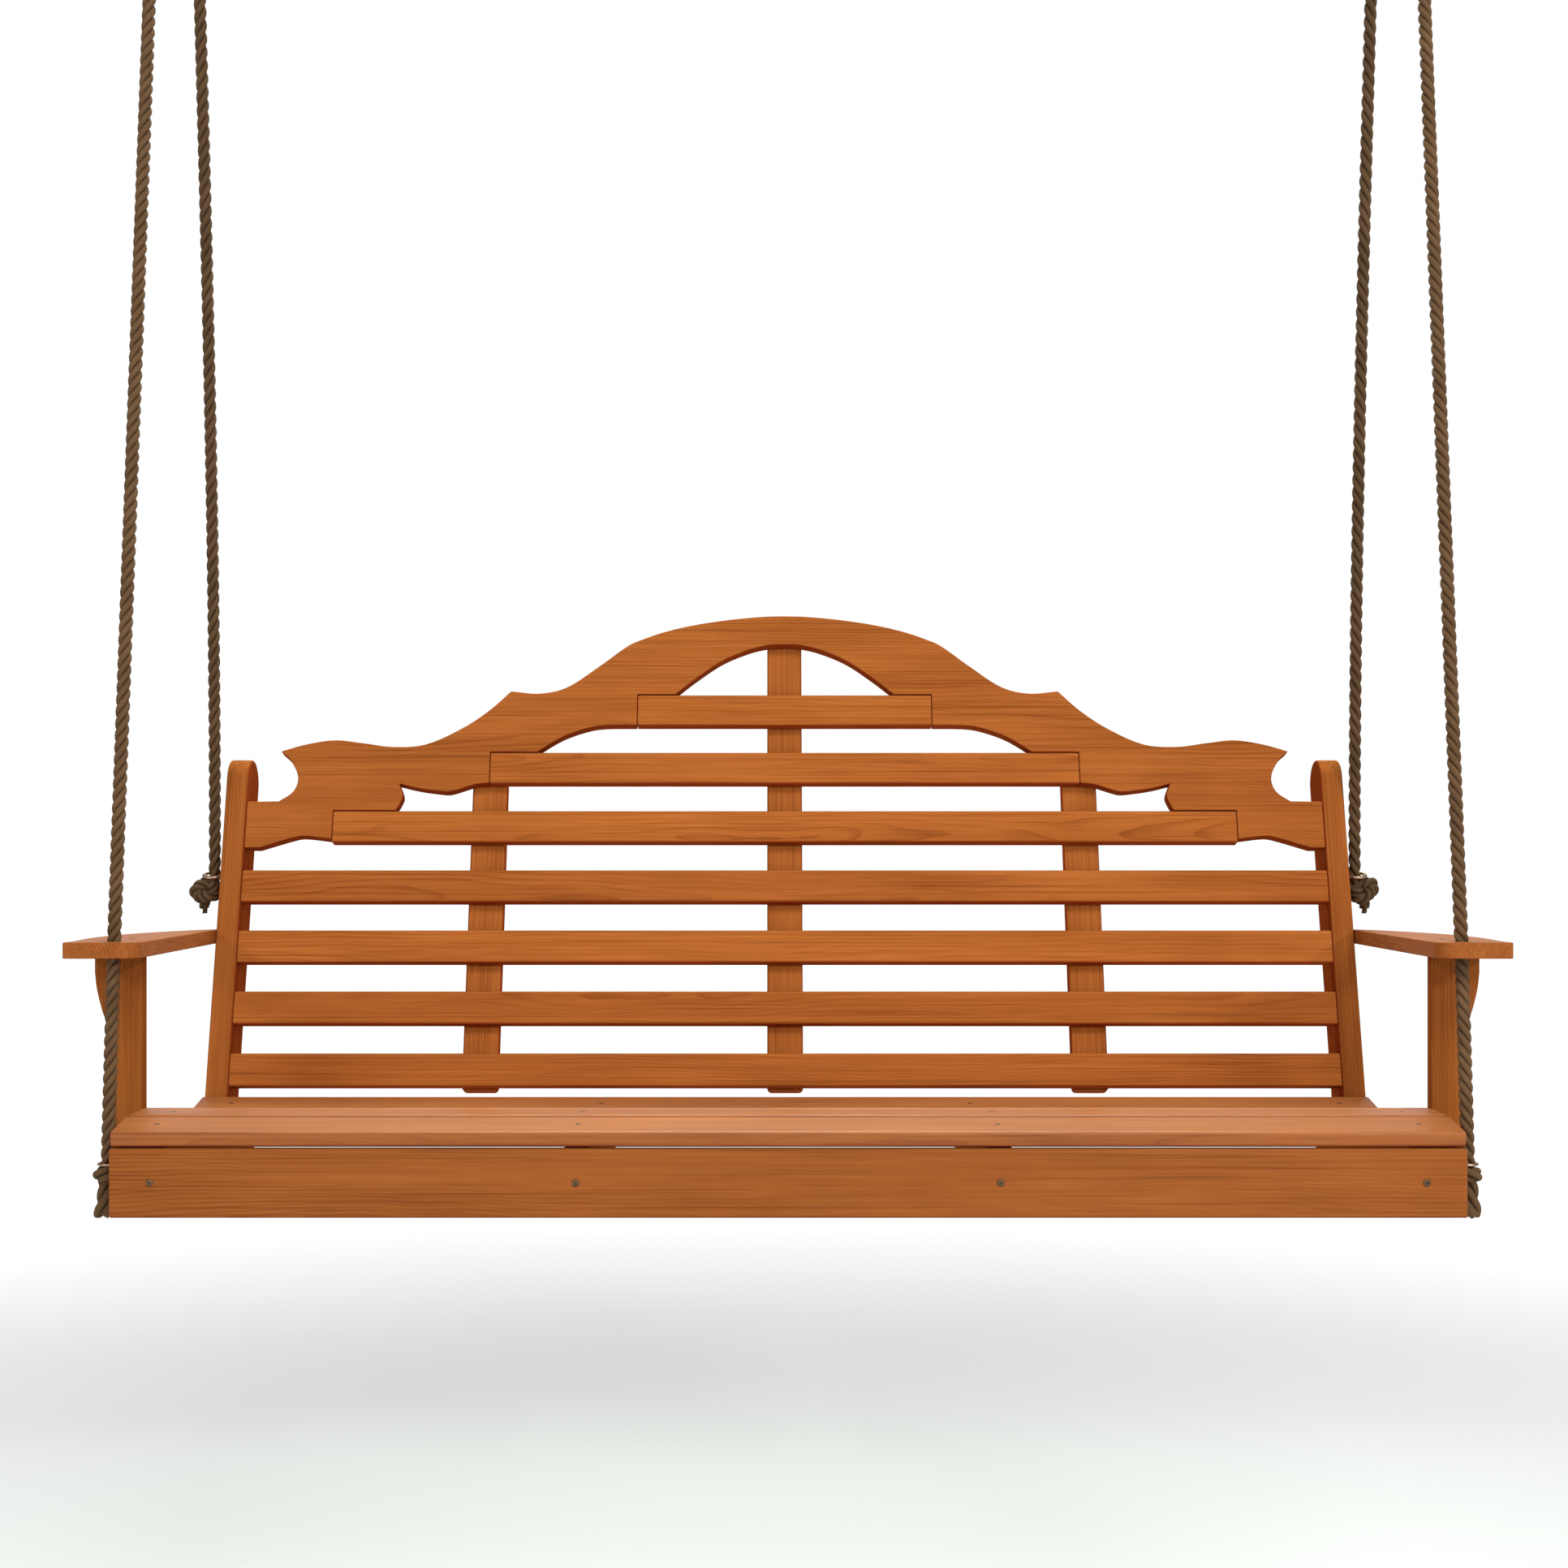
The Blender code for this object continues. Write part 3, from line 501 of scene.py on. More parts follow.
def arc(centre, radius, start_degrees, end_degrees, steps):
    angles = [math.radians(start_degrees + (end_degrees - start_degrees) * step / steps)
              for step in range(steps + 1)]
    return [(centre[0] + radius * math.cos(angle), centre[1] + radius * math.sin(angle))
            for angle in angles]


def rounded_rectangle(width, height, radii):
    """Corners in order: lower left, lower right, upper right, upper left; from (0, 0)."""
    corners = ((0, 0, 180), (width, 0, 270), (width, height, 0), (0, height, 90))
    points = []
    for (x, y, start), radius in zip(corners, radii):
        centre = (x + radius if x == 0 else x - radius, y + radius if y == 0 else y - radius)
        points += arc(centre, radius, start, start + 90, CORNER_STEPS)
    return points


def seat_height(depth):
    """Height of the sitting surface."""
    run = smooth_run(SEAT_CONTOUR, 3)
    for (left, low), (right, high) in zip(run, run[1:]):
        if left <= depth <= right:
            return low + (high - low) * (depth - left) / (right - left)
    return run[-1][1]


def slat_edges(number):
    """Upper front and rear corners of a seat slat, counted from the front."""
    front = Vector((SEAT_SLAT_PITCH * number, seat_height(SEAT_SLAT_PITCH * number)))
    reach = front.x + SEAT_SLAT_WIDTH
    rear = Vector((reach, seat_height(reach)))
    return front, front + (rear - front).normalized() * SEAT_SLAT_WIDTH


def back_point(x, along, behind):
    """A point given in the reclined back: up along the slope, and behind its front plane."""
    depth = BACK_FOOT[0] + along * math.sin(RECLINE) + behind * math.cos(RECLINE)
    height = BACK_FOOT[1] + along * math.cos(RECLINE) - behind * math.sin(RECLINE)
    return Vector((x, depth, height))


UP_THE_BACK = back_point(0, 1, 0) - back_point(0, 0, 0)
BEHIND_THE_BACK = back_point(0, 0, 1) - back_point(0, 0, 0)


def slat_top(number):
    """Upper edge of a back slat, counted from the top."""
    return LOWEST_SLAT_TOP + (BACK_SLAT_COUNT - number) * BACK_SLAT_PITCH


# ---------------------------------------------------------------- solids
def to_object(name, build):
    mesh = bpy.data.meshes.new(name)
    bmesh.ops.recalc_face_normals(build, faces=build.faces)
    build.to_mesh(mesh)
    build.free()
    mesh.shade_smooth()
    item = bpy.data.objects.new(name, mesh)
    bpy.context.collection.objects.link(item)
    item.location = ZERO
    return item


def extrude(name, outline, to_front, to_back):
    """A closed solid between two copies of an outline; each copy comes from a function."""
    build = bmesh.new()
    front = [build.verts.new(to_front(point)) for point in outline]
    back = [build.verts.new(to_back(point)) for point in outline]
    build.faces.new(front)
    build.faces.new(back[::-1])
    for index in range(len(outline)):
        following = (index + 1) % len(outline)
        build.faces.new((front[following], front[index], back[index], back[following]))
    return to_object(name, build)


def apply_modifiers(item):
    graph = bpy.context.evaluated_depsgraph_get()
    mesh = bpy.data.meshes.new_from_object(item.evaluated_get(graph))
    item.modifiers.clear()
    item.data = mesh


def round_edges(item, width, segments=4):
    """Worn, rounded arrises with flat faces between them."""
    bevel = item.modifiers.new("rounded edges", "BEVEL")
    bevel.width = width
    bevel.segments = segments
    bevel.limit_method = "ANGLE"
    bevel.angle_limit = math.radians(32)
    even = item.modifiers.new("even shading", "WEIGHTED_NORMAL")
    even.keep_sharp = True


def wooden(item, node, edge, along=(1, 0, 0), tone=1.0, gloss=0.0, shaded=(DOWN,)):
    """Finish a board: round its edges, give it its grain, and let it stand for its CAD node."""
    centre = sum((Vector(corner) for corner in item.bound_box), Vector()) / 8
    item.data.materials.append(cedar(node, along, centre, tone, gloss, shaded))
    round_edges(item, edge)
    stands_for(item, "seat", "stained_cedar", node)


def stands_for(item, body, slot, *nodes):
    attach(item, body)
    if nodes:
        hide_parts(*nodes)


def refine_board(node, along):
    """A CAD board whose shape is right keeps its mesh and gets softer edges and its grain."""
    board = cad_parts[node]
    low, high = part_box(node)
    board.data.materials.clear()
    board.data.materials.append(cedar(node, along, (low + high) / 2))
    round_edges(board, 0.0008, 2)


# ---------------------------------------------------------------- seat
def add_front_rail():
    outline = rounded_rectangle(RAIL_THICKNESS, RAIL_HEIGHT, (0.003, 0.002, 0.007, 0.003))
    rail = extrude("rail_board", outline, lambda p: (-RAIL_HALF_LENGTH, *p),
                   lambda p: (RAIL_HALF_LENGTH, *p))
    wooden(rail, "front_rail", 0.0018, tone=0.79, gloss=0.04)


def add_seat_slats():
    for number in range(SEAT_SLAT_COUNT):
        front, rear = slat_edges(number)
        along = (rear - front).normalized()
        up = Vector((-along.y, along.x))
        corner = front - up * SEAT_SLAT_THICKNESS
        nose = 0.0045 if number == 0 else 0.004
        section = rounded_rectangle(SEAT_SLAT_WIDTH, SEAT_SLAT_THICKNESS,
                                    (0.004, 0.003, 0.004, nose))
        outline = [tuple(corner + along * x + up * y) for x, y in section]
        slat = extrude(f"seat_board_{number + 1}", outline, lambda p: (-FRAME_FACE, *p),
                       lambda p: (FRAME_FACE, *p))
        wooden(slat, f"seat_slat_{number + 1}", 0.0015, tone=0.88, gloss=0.22)


def screw_head(build, place, normal, radius, crown):
    """A round head with a cross recess, lying on a surface."""
    turn = Vector((0, 0, 1)).rotation_difference(normal.normalized())

    def ring(reaches, lift):
        """Corners round the head, each at its own share of the radius."""
        corners = []
        for step, reach in enumerate(reaches):
            angle = 2 * math.pi * step / SCREW_SIDES
            corners.append(build.verts.new(place + turn @ Vector((
                radius * reach * math.cos(angle), radius * reach * math.sin(angle),
                crown * lift))))
        return corners

    profile = ((1.0, -0.4), (1.0, 0.15), (0.93, 0.55), (0.72, 0.85), (0.40, 1.0))
    rings = [ring([reach] * SCREW_SIDES, lift) for reach, lift in profile]
    cross = [0.34 if step % 6 in (0, 1, 5) else 0.13 for step in range(SCREW_SIDES)]
    rings.append(ring(cross, 0.95))
    rings.append([build.verts.new(corner.co - normal.normalized() * crown * 0.7)
                  for corner in rings[-1]])
    for level, (lower, upper) in enumerate(zip(rings, rings[1:])):
        for step in range(SCREW_SIDES):
            other = (step + 1) % SCREW_SIDES
            face = build.faces.new((lower[step], lower[other], upper[other], upper[step]))
            # The recess's walls and floor take the second material, painted shade.
            face.material_index = 1 if level == len(profile) else 0
    build.faces.new(rings[-1]).material_index = 1
    build.faces.new(rings[0][::-1])


def add_screws(name, places, radius, crown, nodes=(), material=SCREW):
    """A group of screw heads, each given by its place and the surface's normal."""
    build = bmesh.new()
    for place, normal in places:
        screw_head(build, place, normal, radius, crown)
    screws = to_object(name, build)
    screws.data.materials.append(material)
    screws.data.materials.append(RECESS_SHADE)
    screws.data.set_sharp_from_angle(angle=math.radians(50))
    stands_for(screws, "seat", "screw_steel", *nodes)


def support_places():
    return [side * x for _, side in SIDES for x in SUPPORT_X]


def add_rail_screws():
    nodes = [f"rail_screw_{name}_{place}" for name, _ in SIDES for place in ("inner", "outer")]
    places = [(Vector((x, -GAP, SCREW_HEIGHT)), Vector((0, -1, 0))) for x in support_places()]
    add_screws("rail_screw_heads", places, 0.0043, 0.0014, nodes)


def add_seat_slat_screws():
    places = []
    for number in range(SEAT_SLAT_COUNT):
        front, rear = slat_edges(number)
        middle = (front + rear) / 2
        along = (rear - front).normalized()
        normal = Vector((0, -along.y, along.x))
        places += [(Vector((x, *middle)) - normal * SUNK, normal) for x in support_places()]
    add_screws("seat_slat_screws", places, 0.0036, 0.0005, material=SUNK_SCREW)


def slat_middle(number):
    return slat_top(number) - BACK_SLAT_HEIGHT / 2


def add_back_support_screws():
    """One screw behind each slat that a support reaches, and one into the headboard."""
    places = []
    for _, x, top in BACK_SUPPORTS:
        heights = [slat_middle(number) for number in range(1, BACK_SLAT_COUNT + 1)
                   if slat_middle(number) < top - 0.02]
        heights.append(top - 0.016)
        places += [(back_point(x, height, 2 * BACK_BOARD + GAP), BEHIND_THE_BACK)
                   for height in heights]
    add_screws("back_support_screws", places, 0.0040, 0.0012)


def add_upright_screws():
    """Screws through the uprights into the full-width slats and the headboard's ends."""
    heights = [slat_middle(number) for number in range(1, BACK_SLAT_COUNT + 1)
               if number not in HEADBOARD_NOTCHES]
    heights.append(HEADBOARD_SCREW)
    places = [(back_point(side * FRAME_FACE, height, BACK_BOARD / 2), Vector((side, 0, 0)))
              for _, side in SIDES for height in heights]
    add_screws("upright_screws", places, 0.0040, 0.0012)


def add_arm_screws():
    """Two screws down through each arm into its post, and two through the post's foot."""
    depth = POST_FRONT + POST_THICKNESS / 2
    places = []
    for _, side in SIDES:
        for x in ARM_SCREW_X:
            place = Vector((side * x, depth, arm_underside(depth) + ARM_THICKNESS - SUNK))
            places.append((place, Vector((0, 0, 1))))
        for height in POST_SCREW_HEIGHTS:
            place = Vector((side * (POST_INNER + POST_SCREW_REACH), depth, height))
            places.append((place, Vector((side, 0, 0))))
    add_screws("arm_screws", places, 0.0036, 0.0008, material=SUNK_SCREW)


# ---------------------------------------------------------------- reclined back
def add_uprights():
    half = UPRIGHT_DEPTH / 2
    top = arc((half, UPRIGHT_TOP - half), half, 0, 180, 32)
    outline = [(0.0, UPRIGHT_BOTTOM), (UPRIGHT_DEPTH, UPRIGHT_BOTTOM + 0.020), *top]
    for name, side in SIDES:
        inner, outer = side * (FRAME_FACE - UPRIGHT_THICKNESS), side * FRAME_FACE
        upright = extrude(f"back_post_{name}", outline,
                          lambda p: back_point(inner, p[1], p[0]),
                          lambda p: back_point(outer, p[1], p[0]))
        wooden(upright, f"upright_{name}", 0.0028, UP_THE_BACK, tone=0.87,
               shaded=(DOWN, (-side, 0, 0)))


def add_back_slats():
    section = rounded_rectangle(BACK_BOARD, BACK_SLAT_HEIGHT, (0.004, 0.003, 0.003, 0.004))
    for number in range(1, BACK_SLAT_COUNT + 1):
        half = HEADBOARD_NOTCHES[number][1] if number in HEADBOARD_NOTCHES else BACK_HALF_WIDTH
        bottom = slat_top(number) - BACK_SLAT_HEIGHT
        slat = extrude(f"back_board_{number}", section,
                       lambda p: back_point(-half, bottom + p[1], p[0]),
                       lambda p: back_point(half, bottom + p[1], p[0]))
        wooden(slat, f"back_slat_{number}", 0.0012, tone=1.07)


def add_back_supports():
    for name, x, top in BACK_SUPPORTS:
        section = rounded_rectangle(BACK_SUPPORT_WIDTH, top - BACK_SUPPORT_FOOT,
                                    (0.006, 0.006, 0.010, 0.010))
        outline = [(x - BACK_SUPPORT_WIDTH / 2 + px, BACK_SUPPORT_FOOT + py) for px, py in section]
        front = BACK_BOARD + GAP
        board = extrude(f"back_strut_{name}", outline, lambda p: back_point(*p, front),
                        lambda p: back_point(*p, front + BACK_BOARD))
        wooden(board, f"back_support_{name}", 0.0026, UP_THE_BACK, shaded=(DOWN, *SIDEWAYS))


def notch(number):
    """The step that a slat's end and its upper edge fit into, from its foot upwards."""
    inner, slat_end, foot = HEADBOARD_NOTCHES[number]
    end = slat_end + NOTCH_GROOVE
    top = slat_top(number) + NOTCH_GROOVE
    return [(end, foot), (end, top), (inner, top)]


def headboard_half():
    """Right half of the headboard, from the crown's middle round to the arch's middle."""
    crown = smooth_run(((0.000, 0.668), (0.030, 0.6672), (0.077, 0.6625), (0.129, 0.654),
                        (0.168, 0.644), (0.198, 0.633), (0.216, 0.6245), (0.257, 0.593),
                        (0.300, 0.563), (0.336, 0.554), (0.377, 0.557)))
    wing = smooth_run(((0.377, 0.557), (0.407, 0.5285), (0.443, 0.503), (0.492, 0.480),
                       (0.536, 0.4765), (0.579, 0.482), (0.616, 0.486), (0.655, 0.480),
                       (0.689, 0.470)))
    bite = smooth_run(((0.689, 0.470), (0.6755, 0.457), (0.664, 0.433), (0.669, 0.413),
                       (0.688, 0.3985)))
    end = [(BACK_HALF_WIDTH, 0.398), (BACK_HALF_WIDTH, 0.333), (0.711, 0.333)]
    third_notch, second_notch, first_notch = notch(3), notch(2), notch(1)
    foot = smooth_run(((0.711, 0.333), (0.6615, 0.3481), (0.6483, 0.3492), third_notch[0]))
    curl = smooth_run((third_notch[-1], (0.523, 0.396), (0.5196, 0.407), (0.525, 0.4235)))
    second_brow = smooth_run(((0.525, 0.4235), (0.4996, 0.4172), (0.4698, 0.4128),
                              (0.4582, 0.4120), (0.4499, 0.4137), (0.4234, 0.4224),
                              (0.4134, 0.4239), second_notch[0]))
    first_brow = smooth_run((second_notch[-1], (0.306, 0.490), (0.2755, 0.502), (0.252, 0.507),
                             first_notch[0]))
    arch = smooth_run((first_notch[-1], (0.1195, 0.578), (0.0845, 0.6025), (0.0465, 0.619),
                       (0.020, 0.6252), (0.000, 0.626)))
    runs = (crown, wing[1:], bite[1:], end, foot[1:-1], third_notch, curl[1:],
            second_brow[1:-1], second_notch, first_brow[1:-1], first_notch, arch[1:])
    return [point for run in runs for point in run]


def add_headboard():
    half = headboard_half()
    mirrored = [(-x, along) for x, along in half[-2:0:-1]]
    headboard = extrude("crest_board", half + mirrored, lambda p: back_point(*p, 0.0),
                        lambda p: back_point(*p, BACK_BOARD))
    wooden(headboard, "headboard", 0.0020, tone=1.02, shaded=(DOWN, *SIDEWAYS))


# ---------------------------------------------------------------- arms
def arm_underside(depth):
    return ARM_TOP - ARM_THICKNESS - ARM_SLOPE * (depth - ARM_FRONT)


def arm_outline():
    """Right arm in plan: x and depth."""
    outer = smooth_run(((0.826, 0.070), (0.8385, 0.190), (0.836, 0.300), (0.8160, 0.400),
                        (0.792, 0.470), (0.772, 0.502)))
    inner_front = arc((0.766, 0.059), 0.025, 180, 270, 12)
    outer_front = arc((0.8215, 0.0385), 0.0045, 270, 360, 6)
    rear = [(FRAME_FACE + 0.0004, 0.512), (FRAME_FACE + 0.0004, 0.470)]
    return outer + rear + inner_front + outer_front


def add_arms():
    for name, side in SIDES:
        def level(point, lift):
            x, depth = point
            return (side * x, depth, arm_underside(depth) + lift)

        arm = extrude(f"armrest_{name}", arm_outline(),
                      lambda p: level(p, ARM_THICKNESS), lambda p: level(p, 0.0))
        circle = arc((side * ROPE_X, ARM_HOLE[0]), ARM_HOLE_RADIUS, 0, 352.5, 47)
        drill = extrude("rope_drill", circle, lambda p: (*p, ARM_HOLE[1] - 0.03),
                        lambda p: (*p, ARM_HOLE[1] + 0.03))
        hole = arm.modifiers.new("rope hole", "BOOLEAN")
        hole.solver = "EXACT"
        hole.object = drill
        apply_modifiers(arm)
        bpy.data.objects.remove(drill)
        wooden(arm, f"arm_{name}", 0.0030, (0, 1, 0), tone=0.87, gloss=0.05)


def add_arm_posts():
    top = arm_underside(POST_FRONT + POST_THICKNESS) - GAP
    narrow, wide = 0.8010, 0.8187
    corbel = smooth_run(((narrow, 0.150), (narrow + 0.0005, 0.175), (0.8045, 0.205),
                         (0.8110, 0.226), (0.8165, 0.249), (wide, 0.268)))
    outline = [(POST_INNER, top), (POST_INNER, POST_FOOT), (narrow, POST_FOOT),
               *corbel, (wide, top)]
    for name, side in SIDES:
        post = extrude(f"arm_stand_{name}", outline,
                       lambda p: (side * p[0], POST_FRONT, p[1]),
                       lambda p: (side * p[0], POST_FRONT + POST_THICKNESS, p[1]))
        wooden(post, f"arm_post_{name}", 0.0022, (0, 0, 1), tone=0.79)


# ---------------------------------------------------------------- metal
def neighbours(path, closed=False):
    """The points before and after each point; an open path's ends stand in for themselves."""
    pairs = []
    for index, point in enumerate(path):
        before = path[index - 1] if closed or index > 0 else point
        after = path[(index + 1) % len(path)] if closed or index < len(path) - 1 else point
        pairs.append((before, after))
    return pairs


def round_section(build, centre, first, second, radius, sides):
    """A ring of corners round a centre, from the direction first towards second."""
    angles = [2 * math.pi * step / sides for step in range(sides)]
    return [build.verts.new(centre + (first * math.cos(angle) + second * math.sin(angle)) * radius)
            for angle in angles]


def sweep(name, path, across, radius):
    """A round bar along a flat path; across is the normal of the path's plane."""
    build = bmesh.new()
    rings = []
    for point, (before, after) in zip(path, neighbours(path)):
        side = (after - before).normalized().cross(across).normalized()
        rings.append(round_section(build, point, across, side, radius, BAR_SIDES))
    for ring, following in zip(rings, rings[1:]):
        for step in range(BAR_SIDES):
            other = (step + 1) % BAR_SIDES
            build.faces.new((ring[step], ring[other], following[other], following[step]))
    build.faces.new(rings[0])
    build.faces.new(rings[-1])
    item = to_object(name, build)
    item.data.set_sharp_from_angle(angle=math.radians(50))
    return item


def add_eye(name, side, position, ring_size, tilt):
    """A screw eye: the wire comes out of the board, runs once round and ends at its own neck."""
    centre_x, ring_radius, wire = ring_size
    depth, height = position
    across = Vector((0, -math.sin(tilt), math.cos(tilt)))
    neck = centre_x - ring_radius
    path = [Vector((side * (FRAME_FACE - 0.024), depth, height)),
            Vector((side * (neck - 0.0035), depth, height))]
    path += [Vector((side * (centre_x + x), depth + y * math.cos(tilt),
                     height + y * math.sin(tilt)))
             for x, y in arc((0, 0), ring_radius, -168, 168, 48)]
    eye = sweep(f"{name}_wire", path, across, wire)
    eye.data.materials.append(ZINC)
    stands_for(eye, "seat", "eye_zinc", name)


def add_hook(name, side, hook):
    """A ceiling plate with a round hook under it, open towards its own end of the bench."""
    width, depth, thickness = PLATE_SIZE
    section = rounded_rectangle(width, depth, (0.006,) * 4)
    outline = [(hook.x - width / 2 + x, hook.y - depth / 2 + y) for x, y in section]
    plate = extrude(f"{name}_plate", outline, lambda p: (*p, CEILING),
                    lambda p: (*p, CEILING - thickness))
    plate.data.materials.append(HOOK)
    round_edges(plate, 0.0012)
    stands_for(plate, "ceiling", "hook_steel", name)
    bowl = [hook + Vector((side * x, 0, y))
            for x, y in arc((0, HOOK_BOWL), HOOK_BOWL, 130, 375, 48)]
    foot = hook + Vector((0, 0, 2 * HOOK_BOWL + 0.006))
    path = [Vector((hook.x, hook.y, CEILING - thickness / 2)), foot, *bowl]
    bar = sweep(f"{name}_bar", path, Vector((0, 1, 0)), HOOK_WIRE)
    bar.data.materials.append(HOOK)
    stands_for(bar, "ceiling", "hook_steel")


# ---------------------------------------------------------------- rope
def carried_normals(tangents):
    """Normals that follow a path without turning round it."""
    normals = [tangents[0].orthogonal().normalized()]
    for before, after in zip(tangents, tangents[1:]):
        normal = before.rotation_difference(after) @ normals[-1]
        normals.append((normal - after * normal.dot(after)).normalized())
    return normals


def closing_turn(tangents, normals):
    """How far the carried normal has turned when a closed path is back at its start."""
    last = tangents[-1].rotation_difference(tangents[0]) @ normals[-1]
    other = tangents[0].cross(normals[0])
    return math.atan2(last.dot(other), last.dot(normals[0]))


def distances_along(path):
    """The distance from the path's start to each point and, last, back to the start."""
    distances = [0.0]
    for point, following in zip(path, [*path[1:], path[0]]):
        distances.append(distances[-1] + (following - point).length)
    return distances


def skin_strand(build, layer, rings, turned, closed):
    """Faces round a strand. The layer runs round it once, and along it by the turns made."""
    for index in range(len(rings) if closed else len(rings) - 1):
        ring, following = rings[index], rings[(index + 1) % len(rings)]
        low, high = turned[index], turned[index + 1]
        for step in range(STRAND_SIDES):
            other = (step + 1) % STRAND_SIDES
            face = build.faces.new((ring[step], ring[other], following[other], following[step]))
            corners = ((step, low), (step + 1, low), (step + 1, high), (step, high))
            for corner, (around, along) in zip(face.loops, corners):
                corner[layer].uv = (around / STRAND_SIDES, along)
    if not closed:
        build.faces.new(rings[0])
        build.faces.new(rings[-1])


def laid_rope(name, path, reach, hand, lay=FRONT_LAY, closed=False, strands=3):
    """Strands twisted round a path. reach is the outer radius, one number or one per point."""
    reaches = reach if isinstance(reach, list) else [reach] * len(path)
    tangents = [(after - before).normalized() for before, after in neighbours(path, closed)]
    normals = carried_normals(tangents)
    distances = distances_along(path)
    length = distances[-1] if closed else distances[-2]
    turns = max(1, round(length / lay)) if closed else length / lay
    drift = closing_turn(tangents, normals) if closed else 0.0
    turned = [turns * distance / length for distance in distances]
    build = bmesh.new()
    layer = build.loops.layers.uv.new("strand")
    for strand in range(strands):
        middles, outwards = [], []
        for index, point in enumerate(path):
            share = distances[index] / length
            angle = 2 * math.pi * (hand * turns * share + strand / strands) - drift * share
            binormal = tangents[index].cross(normals[index])
            outward = normals[index] * math.cos(angle) + binormal * math.sin(angle)
            middles.append(point + outward * reaches[index] * (1 - STRAND_SHARE))
            outwards.append(outward)
        rings = []
        for index, (before, after) in enumerate(neighbours(middles, closed)):
            tangent = (after - before).normalized()
            outward = outwards[index]
            normal = (outward - tangent * outward.dot(tangent)).normalized()
            rings.append(round_section(build, middles[index], normal, tangent.cross(normal),
                                       reaches[index] * STRAND_SHARE, STRAND_SIDES))
        skin_strand(build, layer, rings, turned, closed)
    rope = to_object(name, build)
    rope.data.set_sharp_from_angle(angle=math.radians(60))
    rope.data.materials.append(REAR_ROPE if "rear" in name else FRONT_ROPE)
    return rope


def walk(points, step=0.0028):
    """Closely spaced points along straight stretches between the given points."""
    path = [points[0]]
    for start, end in zip(points, points[1:]):
        count = max(1, round((end - start).length / step))
        path += [start.lerp(end, index / count) for index in range(1, count + 1)]
    return path


def at(side, position, x=ROPE_X):
    """A point on a rope's line, from its depth and height."""
    return Vector((side * x, *position))


def bowed(path, amount):
    """A stiff rope's slight bow along x, fullest a little below the middle."""
    last = len(path) - 1
    return [point - Vector((math.copysign(amount, point.x)
                            * math.sin(math.pi * (index / last) ** 0.8), 0, 0))
            for index, point in enumerate(path)]


def add_splice(name, hook, direction, slack, hand, body):
    """The eye in a rope's top end, with the tucks of its splice tapering into the rope."""
    sideways = direction.cross(Vector((1, 0, 0))).normalized()
    top = HOOK_WIRE + slack + ROPE_REACH
    head = arc((0, top - LOOP_RADIUS), LOOP_RADIUS, -12, 192, 34)
    throat = arc((0, -LOOP_THROAT), LOOP_THROAT_RADIUS, 200, 340, 12)
    corners = [hook + sideways * x + direction * y for x, y in head + throat]
    path = walk([*corners, corners[0]])[:-1]
    loop = laid_rope(f"{name}_strands", path, ROPE_REACH, hand, closed=True)
    stands_for(loop, body, "rope", name)
    start = hook - direction * (LOOP_THROAT + 0.004)
    tucks = walk([start, start - direction * SPLICE_LENGTH])
    last = len(tucks) - 1
    thick, thin = SPLICE_REACH
    reach = [thick - (thick - thin) * (index / last) for index in range(len(tucks))]
    splice = laid_rope(f"{name}_tucks", tucks, reach, hand, strands=4)
    stands_for(splice, body, "rope")
    return loop, splice


def rope_end(hook, direction):
    return hook - direction * (LOOP_THROAT + LOOP_THROAT_RADIUS)


def add_front_knot(side, name, hand):
    """One tight turn of rope under the eye, and the short tail with its flared, cut end."""
    centre = Vector((side * 0.7764, FRONT_EYE[0] - 0.001, 0.0442))
    tilt = Matrix.Rotation(math.radians(side * 7), 4, "Y")
    half_width, half_depth, steps = 0.0072, 0.0104, 40
    angles = [2 * math.pi * step / steps for step in range(steps)]
    ring = [centre + tilt @ Vector((half_width * math.cos(angle), half_depth * math.sin(angle), 0))
            for angle in angles]
    turn = laid_rope(f"front_knot_{name}_turn", ring, 0.0086, -hand, closed=True)
    stands_for(turn, "seat", "rope", f"front_knot_{name}")
    top = Vector((side * 0.7785, centre.y, 0.0440))
    foot = Vector((side * 0.7805, centre.y, -0.0034))
    path = walk([top, foot], 0.002)
    last = len(path) - 1
    reach = [0.0084 + 0.0034 * max(0.0, (index / last - 0.45) / 0.55) ** 1.5
             for index in range(len(path))]
    tail = laid_rope(f"front_knot_{name}_tail", path, reach, hand, 0.058)
    stands_for(tail, "seat", "rope")
    return turn, tail


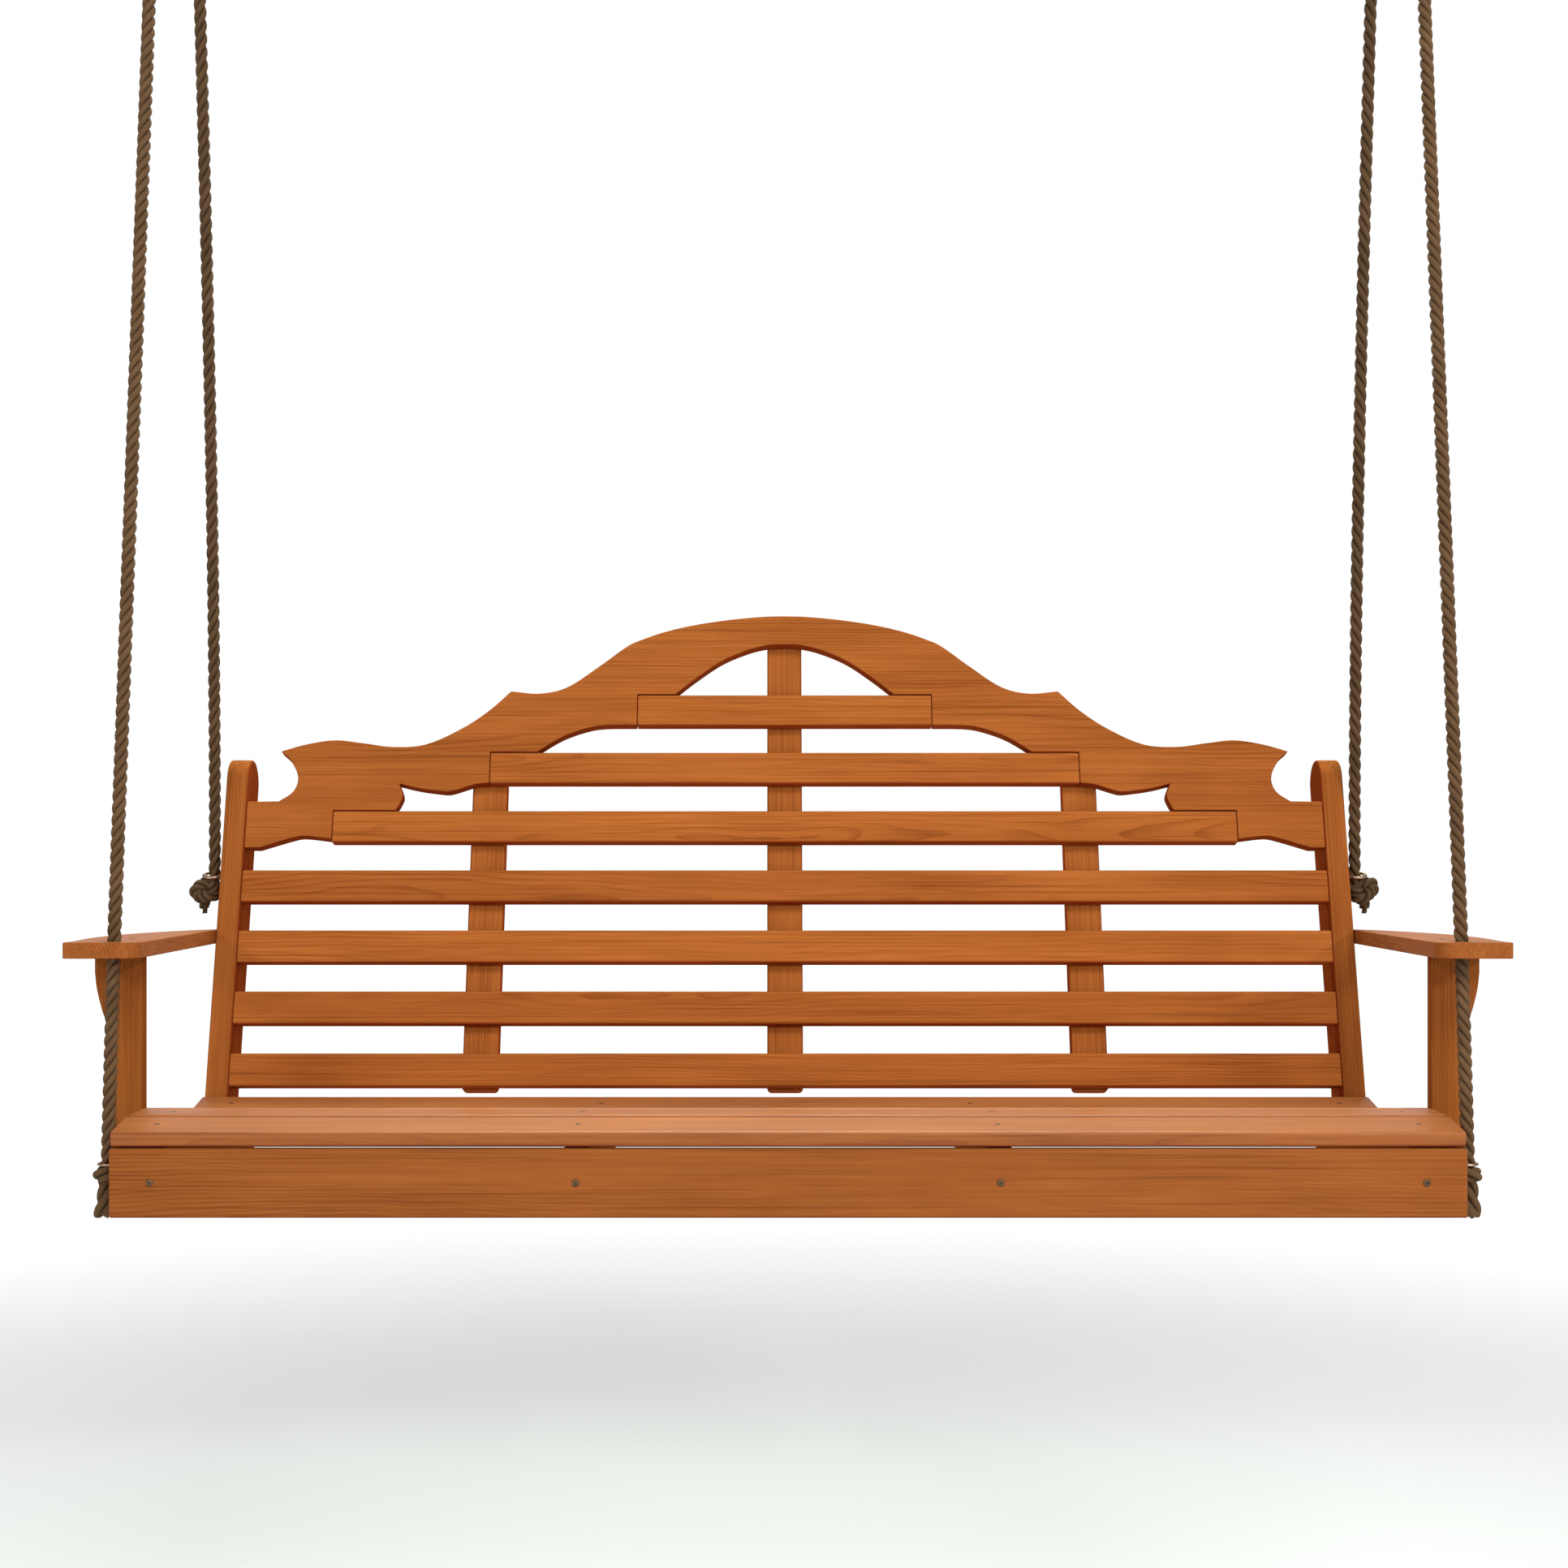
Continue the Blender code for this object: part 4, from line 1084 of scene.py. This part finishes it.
def add_rear_knot(side, name, hand):
    """A trefoil of rope under the eye, wider than it is high, with a short whipped tail."""
    centre = Vector((side * 0.7868, REAR_EYE[0], 0.3584))
    lean = Matrix.Rotation(math.radians(78), 4, "X") @ Matrix.Rotation(math.radians(20), 4, "Z")
    stretch, rise, steps = 1.24, 0.0052, 110
    path = []
    for step in range(steps):
        angle = 2 * math.pi * step / steps
        out = 0.0092 + 0.0040 * math.cos(3 * angle)
        path.append(centre + lean @ Vector((
            stretch * out * math.cos(2 * angle) * side, out * math.sin(2 * angle),
            rise * math.sin(3 * angle))))
    knot = laid_rope(f"rear_knot_{name}_turns", path, 0.0076, hand, closed=True)
    stands_for(knot, "seat", "rope", f"rear_knot_{name}")
    top = centre + Vector((side * 0.002, 0.004, -0.004))
    foot = centre + Vector((side * 0.0045, 0.006, -0.0245))
    tail_path = walk([top, foot], 0.002)
    tail = laid_rope(f"rear_knot_{name}_tail", tail_path, 0.0074, hand)
    stands_for(tail, "seat", "rope")
    nub_top = foot + Vector((0, 0, 0.002))
    nub_path = walk([nub_top, foot + Vector((side * -0.001, 0, -0.0070))], 0.001)
    nub = laid_rope(f"rear_knot_{name}_nub", nub_path, 0.0036, hand, 0.018)
    stands_for(nub, "seat", "rope")
    return knot, tail, nub


def bend_at(rope):
    """The rope's placement is baked into its mesh."""
    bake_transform(rope)


def add_front_rope(side, name):
    hand = -side
    hook, hole, eye = at(side, FRONT_HOOK, HOOK_X), at(side, ARM_HOLE), at(side, FRONT_EYE)
    direction = (hook - hole).normalized()
    loop, splice = add_splice(f"front_loop_{name}", hook, direction, FRONT_LOOP_SLACK, hand,
                              "front_ropes")
    knots = add_front_knot(side, name, hand)
    path = walk([eye - Vector((0, 0, 0.006)), eye, hole, rope_end(hook, direction)])
    rope = laid_rope(f"front_rope_{name}_strands", path, ROPE_REACH, hand)
    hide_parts(f"front_rope_{name}", f"front_tail_rope_{name}")
    bend_at(rope)


def add_rear_rope(side, name):
    hand = -side
    hook, eye = at(side, REAR_HOOK, HOOK_X), at(side, REAR_EYE)
    direction = (hook - eye).normalized()
    loop, splice = add_splice(f"rear_loop_{name}", hook, direction, REAR_LOOP_SLACK, hand,
                              "rear_ropes")
    knots = add_rear_knot(side, name, hand)
    upper = bowed(walk([eye, rope_end(hook, direction)]), REAR_BOW)
    path = walk([eye - Vector((0, 0, 0.012)), eye])[:-1] + upper
    rope = laid_rope(f"rear_rope_{name}_strands", path, ROPE_REACH, hand, REAR_LAY)
    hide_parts(f"rear_rope_{name}")
    bend_at(rope)


def draw_scene():
    add_camera()
    add_light()
    add_floor()
    for name, side in SIDES:
        add_front_rope(side, name)
        add_rear_rope(side, name)
        add_hook(f"front_hook_{name}", side, at(side, FRONT_HOOK, HOOK_X))
        add_hook(f"rear_hook_{name}", side, at(side, REAR_HOOK, HOOK_X))
        add_eye(f"front_eye_{name}", side, FRONT_EYE, FRONT_EYE_RING, 0.0)
        add_eye(f"rear_eye_{name}", side, REAR_EYE, REAR_EYE_RING, math.radians(14))
        refine_board(f"side_rail_{name}", (0, 1, 0))
        for place in ("inner", "outer"):
            refine_board(f"seat_support_{name}_{place}", (0, 1, 0))
    add_front_rail()
    add_seat_slats()
    add_uprights()
    add_back_supports()
    add_back_slats()
    add_headboard()
    add_arms()
    add_arm_posts()
    add_rail_screws()
    add_seat_slat_screws()
    add_back_support_screws()
    add_upright_screws()
    add_arm_screws()


draw_scene()
